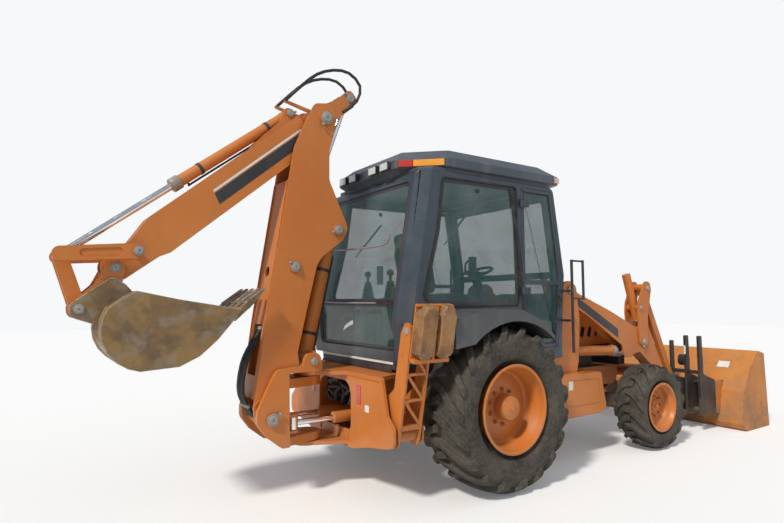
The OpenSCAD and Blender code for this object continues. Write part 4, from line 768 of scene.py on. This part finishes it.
# Glass borders, gaskets, the bar between the rear panes and the strip behind the door. A row of "panes" is the
# pane's foot and head in side view, its half width, its corners' radii at foot and head, and its outer side
glazing = {"quarter": [[-640, 1515, 60], [-500, 2040, 300], [-440, 2470, 50], [400, 2480, 30], [420, 1435, 60],
                       [-560, 1435, 80]],
           "border": 38, "glassY": 742, "gasketFaces": (-752.5, -744), "stripHalf": 17, "stripY": -753.6,
           "strip": [(462, 1322), (455, 1500), (436, 1800), (408, 2010), (362, 2260), (332, 2452)],
           "panes": [([[-799, 1473], [-637, 2438]], 619, 4, 64, 1), ([[-783, 1101], [-799, 1469]], 619, 44, 4, 1),
                     ([[977, 1723], [873, 2438]], 639, 4, 64, -1),
                     ([[944, 1260.4], [977, 1718]], 639, 84, 4, -1)],
           "bar": ((-812, -618, 1456), (-796, 618, 1487)), "sill": ((-812, -585, 996), (-801, 585, 1014)),
           "valance": ((-806, -560, 932), (-790, 560, 994))}
quarter = rounded(glazing["quarter"], 8)
glassY = glazing["glassY"]
sideBorder = [frameRing(quarter, 1, glazing["border"], -glassY - 1.4, -glassY + 0.4)]
strip = smoothPath(glazing["strip"], 6)
stripHalf = np.array([glazing["stripHalf"], 0])
stripOutline = np.vstack([strip - stripHalf, (strip + stripHalf)[::-1]])
sideGasket = [frameRing(quarter, -5, 7, *glazing["gasketFaces"]),
              slab(onSide(stripOutline, glazing["stripY"]), [0, 11, 0])]
endBorder, endGasket = [], []
for ends, wide, r0, r1, outside in glazing["panes"]:
    high = math.dist(*ends)
    plan = rounded([[0, -wide, r0], [high, -wide, r1], [high, wide, r1], [0, wide, r0]], 8)
    endBorder.append(onPane(frameRing(plan, 1, 30, outside * 3.6, outside * 5.2), ends))
    endGasket.append(onPane(frameRing(plan, -6, 6, outside * 2.0, outside * 9.0), ends))
endGasket.append(box(*glazing["bar"]))
makePiece("sideBorders", bothSides(sideBorder), "machine", blackBand)
makePiece("sideGaskets", bothSides(sideGasket), "machine", sealRubber)
makePiece("endBorders", placed(endBorder), "machine", blackBand)
makePiece("endGaskets", placed(endGasket), "machine", sealRubber)
makePiece("rearSill", placed([box(*glazing["sill"])]), "machine", whiteLabel, 35, 0.002)
makePiece("rearValance", placed([box(*glazing["valance"])]), "machine", blackPlastic, 35, 0.002)
print("glazing made")

# Lamps: black housings with lenses set in them; the corner lamps lie on the roof's cut corners
lamp = {"work": (350, 170), "marker": 560, "corner": (-700, 466), "turn": math.atan(0.95), "split": 150, "gap": 2,
        "lensFaces": (4, 14.3), "lensHeights": (2567, 2621)}


# A box on the left cut corner: distances along its face, out of it and up
def cornerBox(alongs, outs, heights):
    c, k = math.cos(lamp["turn"]), math.sin(lamp["turn"])
    x0, y0 = lamp["corner"]
    (a0, a1), (b0, b1), (z0, z1) = alongs, outs, heights
    plan = [(x0 + a * c - b * k, y0 + a * k + b * c, z0) for a, b in ((a0, b0), (a1, b0), (a1, b1), (a0, b1))]
    return slab(plan, [0, 0, z1 - z0])


workHousing = [box((-735, y - 62, 2556), (-701, y + 62, 2628)) for y in lamp["work"]]
workLens = [box((-740, y - 54, 2563), (-733, y + 54, 2621)) for y in lamp["work"]]
cornerBase = [cornerBox((24, 410), (0.4, 7), (2562, 2626))]
redForms = [cornerBox((30, lamp["split"] - lamp["gap"]), lamp["lensFaces"], lamp["lensHeights"]),
            box((-1004.3, 366, 694), (-1000.4, 430, 838))]  # the second is the reflector on the rear plate
amberForms = [cornerBox((lamp["split"] + lamp["gap"], 404), lamp["lensFaces"], lamp["lensHeights"])]
markerForms = [box((1001, lamp["marker"] - 55, 2566), (1030, lamp["marker"] + 55, 2622)),
               box((888, 768, 2570), (948, 775, 2618))]
lampForms = [("lampHousings", workHousing + cornerBase, blackPlastic, 0.003),
             ("workLenses", workLens, lampGlass, 0.002), ("redLenses", redForms, redLens, 0.002),
             ("amberLenses", amberForms, amberLens, 0.002), ("markerLenses", markerForms, markerLens, 0.002)]
for name, forms, material, bevel in lampForms:
    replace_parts(makePiece(name, bothSides(forms), "machine", material, 35, bevel), "lamps")
print("lamps made")


# Stuffed form: a superellipsoid, each coordinate a signed power of sine and cosine over two angles
def pillow(centre, along, across, normal, sizes, power=0.42, rows=21, columns=44):
    def bent(v):
        return np.sign(v) * np.abs(v) ** power
    rise = np.linspace(-math.pi / 2 + 0.03, math.pi / 2 - 0.03, rows)[:, None]
    turn = (np.arange(columns) * 2 * math.pi / columns)[None]
    flat = bent(np.cos(rise))
    amounts = (flat * bent(np.cos(turn)), flat * bent(np.sin(turn)), bent(np.sin(rise)) * np.ones_like(turn))
    ways = np.array([along, across, normal], float)
    offsets = [size * amount[..., None] * way for size, amount, way in zip(sizes, amounts, ways)]
    points = np.asarray(centre, float) + sum(offsets)
    ends = [list(range(columns))[::-1], list(range((rows - 1) * columns, rows * columns))]
    return points.reshape(-1, 3), gridFaces(rows, columns, False, True) + ends


# Seat: cushion with side rolls, back with a paler head part, on the CAD pedestal
seatShape = {"cushion": (90, 0, 1482), "cushionSizes": (238, 232, 60), "backFoot": (-135, 1545),
             "backHead": (-252, 2118), "rollSizes": (225, 48, 48), "backSizes": (245, 225, 54),
             "backRollSizes": (225, 46, 50), "headSizes": (78, 196, 50)}
flatWays = ((1, 0, 0), (0, 1, 0), (0, 0, 1))
foot, headEnd = (np.array([seatShape[k][0], 0.0, seatShape[k][1]]) for k in ("backFoot", "backHead"))
up = unit(headEnd - foot)
outOf = np.array([up[2], 0, -up[0]])
backWays = (up, (0, 1, 0), outOf)
cushionForms = [pillow(seatShape["cushion"], *flatWays, seatShape["cushionSizes"])]
cushionForms += [pillow((95, y, 1505), *flatWays, seatShape["rollSizes"], 0.6) for y in (-188, 188)]
backForms = [pillow(foot + up * 235, *backWays, seatShape["backSizes"])]
backForms += [pillow(foot + up * 230 + outOf * 18 + [0, y, 0], *backWays, seatShape["backRollSizes"], 0.6)
              for y in (-180, 180)]
headForms = [pillow(foot + up * 500, *backWays, seatShape["headSizes"], 0.5)]
for name, forms, material in (("seatCushion", cushionForms, seatCover), ("seatBack", backForms, seatCover),
                              ("seatHead", headForms, paleCover)):
    piece = makePiece(name, placed(forms), "machine", material, 60)
    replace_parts(piece, "seat")

# Lever gaiters: turned forms whose radius waves in and out as it narrows upward, on their consoles
lever = {"x": -560, "y": 185, "foot": 1506, "tall": 150, "radius": 58, "narrowing": 30, "wave": 5, "waves": 9}
rise = np.linspace(0, 1, 49)
radius = lever["radius"] - lever["narrowing"] * rise + lever["wave"] * np.sin(rise * lever["waves"] * 2 * math.pi)
gaiter = np.vstack([np.stack([radius, lever["tall"] * rise], -1), [(0.01, lever["tall"])]])
leverForms = [lathe(gaiter, (lever["x"], y, lever["foot"]), (0, 0, 1), 32) for y in (-lever["y"], lever["y"])]
leverForms += [box((-628, y - 52, 1490), (-492, y + 52, 1507)) for y in (-lever["y"], lever["y"])]
makePiece("leverGaiters", placed(leverForms), "machine", sealRubber, 40)
print("cab furnished")

# Cylinders: a bright gland on each barrel and a line pipe beside the longer ones of the hoe. A row is the fixed
# pin, the pin it points to, y, barrel radius, length, rod radius, the pipe's side or 0 without a pipe, and body
loaderPins = [((1040, 1000), (2150, 950)), ((2390, 1400), (2487, 1116))]
cylinders = [((-1285, 1020), (-1050, 2065), 0, 62, 985, 32, 1, "boom_cylinder"),
             ((-1430, 1750), (-905, 3215), 0, 55, 860, 27, 1, "dipper_cylinder"),
             ((-1450, 2990), (-2995, 1785), 0, 42, 1105, 25, -1, "hoe_cylinder")]
for y in (-570, 570):
    cylinders += [(*loaderPins[0], y, 50, 960, 28, 0, "lift_cylinders"),
                  (*loaderPins[1], y, 36, 145, 24, 0, "tilt_cylinders")]
glands, pipes = {}, {}
for start, end, y, radius, length, rod, pipeSide, body in cylinders:
    p = np.array([start[0], y, start[1]], float)
    way = unit(np.array([end[0] - start[0], 0, end[1] - start[1]], float))
    foot = length - (14 if body == "tilt_cylinders" else 66)
    gland = [(radius + 8.2, foot), (radius + 10, foot + 3), (radius + 10, length - 8), (radius + 6, length + 1.5),
             (rod + 4, length + 1.5), (rod + 1.2, length + 5), (rod + 1.2, foot)]
    glands.setdefault(body, []).append(lathe(gland, p, way, 40, True))
    if pipeSide:
        beside = pipeSide * np.array([way[2], 0, -way[0]])
        stations = [(92, -2), (96, 15), (150, 15), (length - 180, 15), (length - 120, 15), (length - 112, -2)]
        route = [p + way * along + beside * (radius + away) for along, away in stations]
        strap = [(radius + 0.3, 0), (radius + 3, 0), (radius + 3, 26), (radius + 0.3, 26)]
        pipes[body] = [tube(smoothPath(route, 5), 8, 10)]
        pipes[body] += [lathe(strap, p + way * spot, way, 40, True) for spot in (200, length - 260)]
for body, forms in glands.items():
    makePiece(f"glands_{body}", placed(forms), body, steelBolt)
for body, forms in pipes.items():
    makePiece(f"linePipes_{body}", placed(forms), body, blackPaint)
print("cylinders dressed")


# Points of an arc or a whole ring round a side-view place
def arcOnSide(x, z, radius, y, start=0.0, end=360.0, count=72):
    a = np.radians(np.linspace(start, end, count))
    return np.stack([x + radius * np.cos(a), np.full(count, float(y)), z + radius * np.sin(a)], -1)


# Welds round the bosses and along the seams that show
seams = {"bosses": ((-1430, 1750, 47), (-1050, 2065, 47), (-1165, 2980, 65)), "bossY": -156,
         "boom": [(-1700, -134, 1010), (-1662, -134, 1345), (-1490, -134, 2430)],
         "rearPlate": [(-1002, -690, 899), (-1002, -300, 899), (-1002, 300, 899), (-1002, 690, 899)]}
boomWelds = [weld(arcOnSide(x, z, r, seams["bossY"]), 4) for x, z, r in seams["bosses"]] + [weld(seams["boom"])]
boomWelds.append(weld(arcOnSide(-1640, 655, 118, -156.5, 20, 150), 5))
makePiece("boomWelds", bothSides(boomWelds), "boom", orangePaint, 60)
armWeld = weld(arcOnSide(2660, 680, 73, -504, count=60), 5)
makePiece("armWelds", bothSides([armWeld]), "loader_arms", orangePaint, 60)
frameWelds = [weld(seams["rearPlate"])] + [weld([(-1003, y, 396), (-1003, y, 450)]) for y in (-240, 240)]
makePiece("frameWelds", placed(frameWelds), "machine", orangePaint, 60)
print("welds made")


# A flat blank plate on a right side face, outward from plane y
def sidePlate(outline, y, thick=1.4):
    return slab(onSide(np.asarray(outline, float), y), [0, -thick, 0])


# Dipper coordinates, along it and square to it, to the side view: the head pin plus both turned by its slope
def onDipper(rows):
    rows, slope = np.asarray(rows, float), math.radians(40)
    return np.stack([-1165 + rows[:, 0] * math.cos(slope) - rows[:, 1] * math.sin(slope),
                     2980 + rows[:, 0] * math.sin(slope) + rows[:, 1] * math.cos(slope)], -1)


# Stripes and blank labels; the bucket's label is given by its middle in side view, its y, width and height
band = {"arm": [(1352, 1424), (1995, 1088), (1995, 1182), (1352, 1512)], "armY": -634.6, "dipperY": -109.6,
        "dark": [(-1150, -62), (-260, -62), (-240, 22), (-1130, 22)],
        "white": [(-1128, 30), (-238, 30), (-234, 46), (-1124, 46)]}
label = {"tank": [(1040, 650), (1100, 650), (1100, 735), (1040, 735)], "tankY": -749.7,
         "rear": ((-1001.6, -550, 650), (-999.5, -490, 702)), "bucket": ((3838, 712), -860, 130, 90),
         "bucketSlope": (150.0, 160.0), "postX": 3174,
         "post": [(-701, 860), (-679, 860), (-679, 960), (-701, 960)],
         "panel": [[1000, 500, 25], [1000, 745, 25], [1490, 738, 25], [1500, 500, 25]]}
makePiece("armBands", bothSides([sidePlate(band["arm"], band["armY"])]), "loader_arms", blackBand)
makePiece("dipperStripes", bothSides([sidePlate(onDipper(band["dark"]), band["dipperY"])]), "dipper_box",
          blackBand)
makePiece("dipperWhites", bothSides([sidePlate(onDipper(band["white"]), band["dipperY"])]), "dipper_box",
          whiteLabel)
frameLabels = bothSides([sidePlate(label["tank"], label["tankY"])]) + placed([box(*label["rear"])])
makePiece("frameLabels", frameLabels, "machine", whiteLabel)
middle, labelY, wide, tall = label["bucket"]
slopeWay = unit(label["bucketSlope"])
lift = np.array([-0.73, 0, 0.684]) * 0.5
corners = [(middle[0] + s * slopeWay[0], labelY + y, middle[1] + s * slopeWay[1])
           for s, y in ((-tall / 2, 0), (-tall / 2, wide), (tall / 2, wide), (tall / 2, 0))]
bucketLabel = slab(np.array(corners) + lift, [-1.6, 0, 1.5])
makePiece("bucketLabel", placed([bucketLabel]), "loader_bucket", whiteLabel)
postLabel = slab([(label["postX"], y, z) for y, z in label["post"]], [1.4, 0, 0])
makePiece("postLabels", bothSides([postLabel]), "loader_bucket", whiteLabel)
tankPanel = frameRing(rounded(label["panel"], 5), 0, 10, -753, -749.5)
makePiece("tankPanels", bothSides([tankPanel]), "machine", orangePaint)
print("stripes and labels made")

# Hoses in the frame window: they leave the valves between the stabilizer cylinders, spread behind the rear plate
# and go back forward over the swing cylinders: (y and z at the valves, y and z behind the plate, y at the end)
windowRoutes = [(-100, 800, -232, 672, -110), (-55, 822, -190, 640, -60), (-10, 800, 70, 655, 112),
                (45, 786, 205, 700, 60), (95, 818, -130, 716, -15), (112, 775, 236, 648, 118),
                (20, 824, -60, 636, 20)]
fitting = [(17, 0), (21, 3), (21, 34), (16, 40), (16, 60), (0.01, 60)]
windowHoses, windowFittings = [], []
for y0, z0, y1, z1, y2 in windowRoutes:
    route = [(-700, y0, z0), (-815, y0, z0 + 5), (-905, 0.8 * y0 + 0.2 * y1, z0 - 22), (-938, y1, (z0 + z1) / 2),
             (-928, (y1 + y2) / 2, z1), (-850, y2, z1 - 3), (-705, y2, z1)]
    windowHoses.append(tube(smoothPath(route, 7), 15, 12))
    windowFittings.append(lathe(fitting, (-800, y0, z0 + 5), (-1, 0, 0), 12))
makePiece("windowHoses", placed(windowHoses), "machine", hoseRubber, 60)
makePiece("windowFittings", placed(windowFittings), "machine", copperFitting)

# Hose bundle at the boom's foot: the CAD route made finer, each hose swaying a little differently, with collars
bundle = {"route": [(-1611, 1420), (-1634, 1280), (-1700, 1160), (-1768, 1010), (-1788, 800), (-1706, 622)],
          "places": (-62, -38, -13, 13, 38, 62), "radius": 11.5, "sway": 9,
          "swayShape": (0.0, 0.25, 0.8, 1.0, 0.8, 0.0)}
bundleHoses, collars = [], []
for k, y in enumerate(bundle["places"]):
    bends = np.array(bundle["swayShape"]) * (bundle["sway"] * math.sin(2.4 * k + 0.7))
    path = smoothPath([(x - abs(bend) * 0.6, y + bend, z) for (x, z), bend in zip(bundle["route"], bends)], 9)
    bundleHoses.append(tube(path, bundle["radius"] + 0.5 * np.sin(np.arange(len(path)) * 1.9), 12))
    for i, long in ((8, 30), (len(path) - 6, 26)):
        collar = [(12, 0), (15, 2), (15, long), (12, long + 2)]
        collars.append(lathe(collar, path[i], unit(path[i + 1] - path[i]), 12, True))
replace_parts(makePiece("bundleHoses", placed(bundleHoses), "boom", hoseRubber, 60), "boom_hoses")
makePiece("bundleCollars", placed(collars), "boom", steelBolt)

# Rear window's bent tube, the side glass's strut and latch, the dome lamp
cabFitting = {"rearTube": [(-843, -600, 1990), (-846, -560, 1935), (-850, -430, 1918), (-852, -100, 1922),
                           (-852, 330, 1940), (-852, 480, 1900), (-856, 560, 1800), (-862, 575, 1640),
                           (-866, 520, 1510), (-868, 400, 1478), (-868, 0, 1470), (-862, -430, 1468)],
              "strut": [(-386, -706, 1930), (-79, -706, 2275)],
              "strutBarrel": [(-300, -706, 2027), (-79, -706, 2275)],
              "latch": ((-120, -730, 1655), (-66, -690, 1845)),
              "latchGrip": [(-100, -700, 1830), (-130, -670, 1790), (-130, -670, 1720), (-100, -700, 1680)],
              "knob": (-60, -742, 2395), "dome": (-150, 0, 2428), "domeSizes": (85, 50, 14)}
rearTube = tube(smoothPath(cabFitting["rearTube"], 7), 8, 10)
makePiece("rearTube", placed([rearTube]), "machine", greyTube, 60)
sideFittings = [tube(cabFitting["strut"], 5, 8), tube(cabFitting["strutBarrel"], 9, 10),
                box(*cabFitting["latch"]), tube(smoothPath(cabFitting["latchGrip"], 5), 9, 8),
                lathe([(20, 0), (20, 10), (14, 16), (0.01, 16)], cabFitting["knob"], (0, -1, 0), 20)]
makePiece("sideFittings", bothSides(sideFittings), "machine", blackPlastic, 40)
dome = pillow(cabFitting["dome"], *flatWays, cabFitting["domeSizes"], 0.5)
makePiece("domeLamp", placed([dome]), "machine", lampGlass, 50)
print("hoses and cab fittings made")

# Stage, light and camera

stage = {"floor": (0.80, 0.795, 0.78), "floorSize": 60.0, "floorGlow": 0.12, "sunStrength": 3.0, "sunAngle": 0.12,
         "fill": 0.42, "key": (-0.86, -0.34, 0.90)}


# Floor colour with a little glow where the camera, a reflection or glass sees it
def stageMaterial(name, colour):
    m = Recipe(name)
    path = m.add("ShaderNodeLightPath")
    throughGlass = m.maths("ADD", path.outputs["Is Glossy Ray"], path.outputs["Is Transmission Ray"])
    seen = m.maths("ADD", path.outputs["Is Camera Ray"], throughGlass)
    m.finish(colour, 0.9, specular=0.1)
    m.shader.inputs["Emission Color"].default_value = (1, 1, 1, 1)
    m.put(m.shader.inputs["Emission Strength"], m.maths("MULTIPLY", seen, stage["floorGlow"]))
    return m.material


half, low = stage["floorSize"] / 2, -0.001
floorMesh = bpy.data.meshes.new("floor")
floorCorners = [(-half, -half, low), (half, -half, low), (half, half, low), (-half, half, low)]
floorMesh.from_pydata(floorCorners, [], [(0, 1, 2, 3)])
floorMesh.materials.append(stageMaterial("floorPlain", stage["floor"]))
floor = bpy.data.objects.new("floor", floorMesh)
bpy.context.scene.collection.objects.link(floor)

world = bpy.data.worlds.new("plainSky")
bpy.context.scene.world = world
world.use_nodes = True
tree = world.node_tree
back = tree.nodes["Background"]
path = tree.nodes.new("ShaderNodeLightPath")
pale = tree.nodes.new("ShaderNodeBackground")
pale.inputs["Color"].default_value = (0.93, 0.94, 0.95, 1)
pale.inputs["Strength"].default_value = 1.0
back.inputs["Color"].default_value = (0.80, 0.88, 1.0, 1)
back.inputs["Strength"].default_value = stage["fill"]
chooser = tree.nodes.new("ShaderNodeMixShader")
tree.links.new(path.outputs["Is Camera Ray"], chooser.inputs[0])
tree.links.new(back.outputs[0], chooser.inputs[1])
tree.links.new(pale.outputs[0], chooser.inputs[2])
tree.links.new(chooser.outputs[0], tree.nodes["World Output"].inputs["Surface"])


def sunLamp(name, direction, strength, angle, colour):
    data = bpy.data.lights.new(name, "SUN")
    data.energy, data.angle, data.color = strength, angle, colour
    lamp = bpy.data.objects.new(name, data)
    lamp.rotation_mode = "QUATERNION"
    lamp.rotation_quaternion = Vector(direction).to_track_quat("Z", "Y")
    bpy.context.scene.collection.objects.link(lamp)


sunLamp("keySun", stage["key"], stage["sunStrength"], stage["sunAngle"], (1.0, 0.96, 0.90))
sunLamp("fillSun", (0.6, -0.6, 0.7), 0.35, 1.2, (0.92, 0.96, 1.0))

# Camera from the measured view: place in metres from the rear axle, angles in degrees, focal length in pixels
view = {"place": (-3.171, -4.097, 1.483), "bearing": 56.106, "tilt": 4.131, "roll": -0.232, "focal": 547.64,
        "pixels": 784, "sensor": 36.0}
bearing, tilt, roll = (math.radians(view[k]) for k in ("bearing", "tilt", "roll"))
forward = np.array([math.cos(bearing) * math.cos(tilt), math.sin(bearing) * math.cos(tilt), math.sin(tilt)])
level = np.array([math.sin(bearing), -math.cos(bearing), 0.0])
plumb = np.cross(level, forward)
cameraData = bpy.data.cameras.new("camera")
cameraData.sensor_width = view["sensor"]
cameraData.lens = view["focal"] / view["pixels"] * view["sensor"]
cameraData.clip_start, cameraData.clip_end = 0.05, 200
camera = bpy.data.objects.new("camera", cameraData)
turn = np.eye(4)
turn[:3, 0] = math.cos(roll) * level + math.sin(roll) * plumb
turn[:3, 1] = math.cos(roll) * plumb - math.sin(roll) * level
turn[:3, 2] = -forward
turn[:3, 3] = np.array(view["place"]) - [originX / 1000, 0, 0]
camera.matrix_world = Matrix(turn.tolist())
bpy.context.scene.collection.objects.link(camera)
bpy.context.scene.camera = camera
bpy.context.scene.view_settings.view_transform = "Standard"
print("stage set")
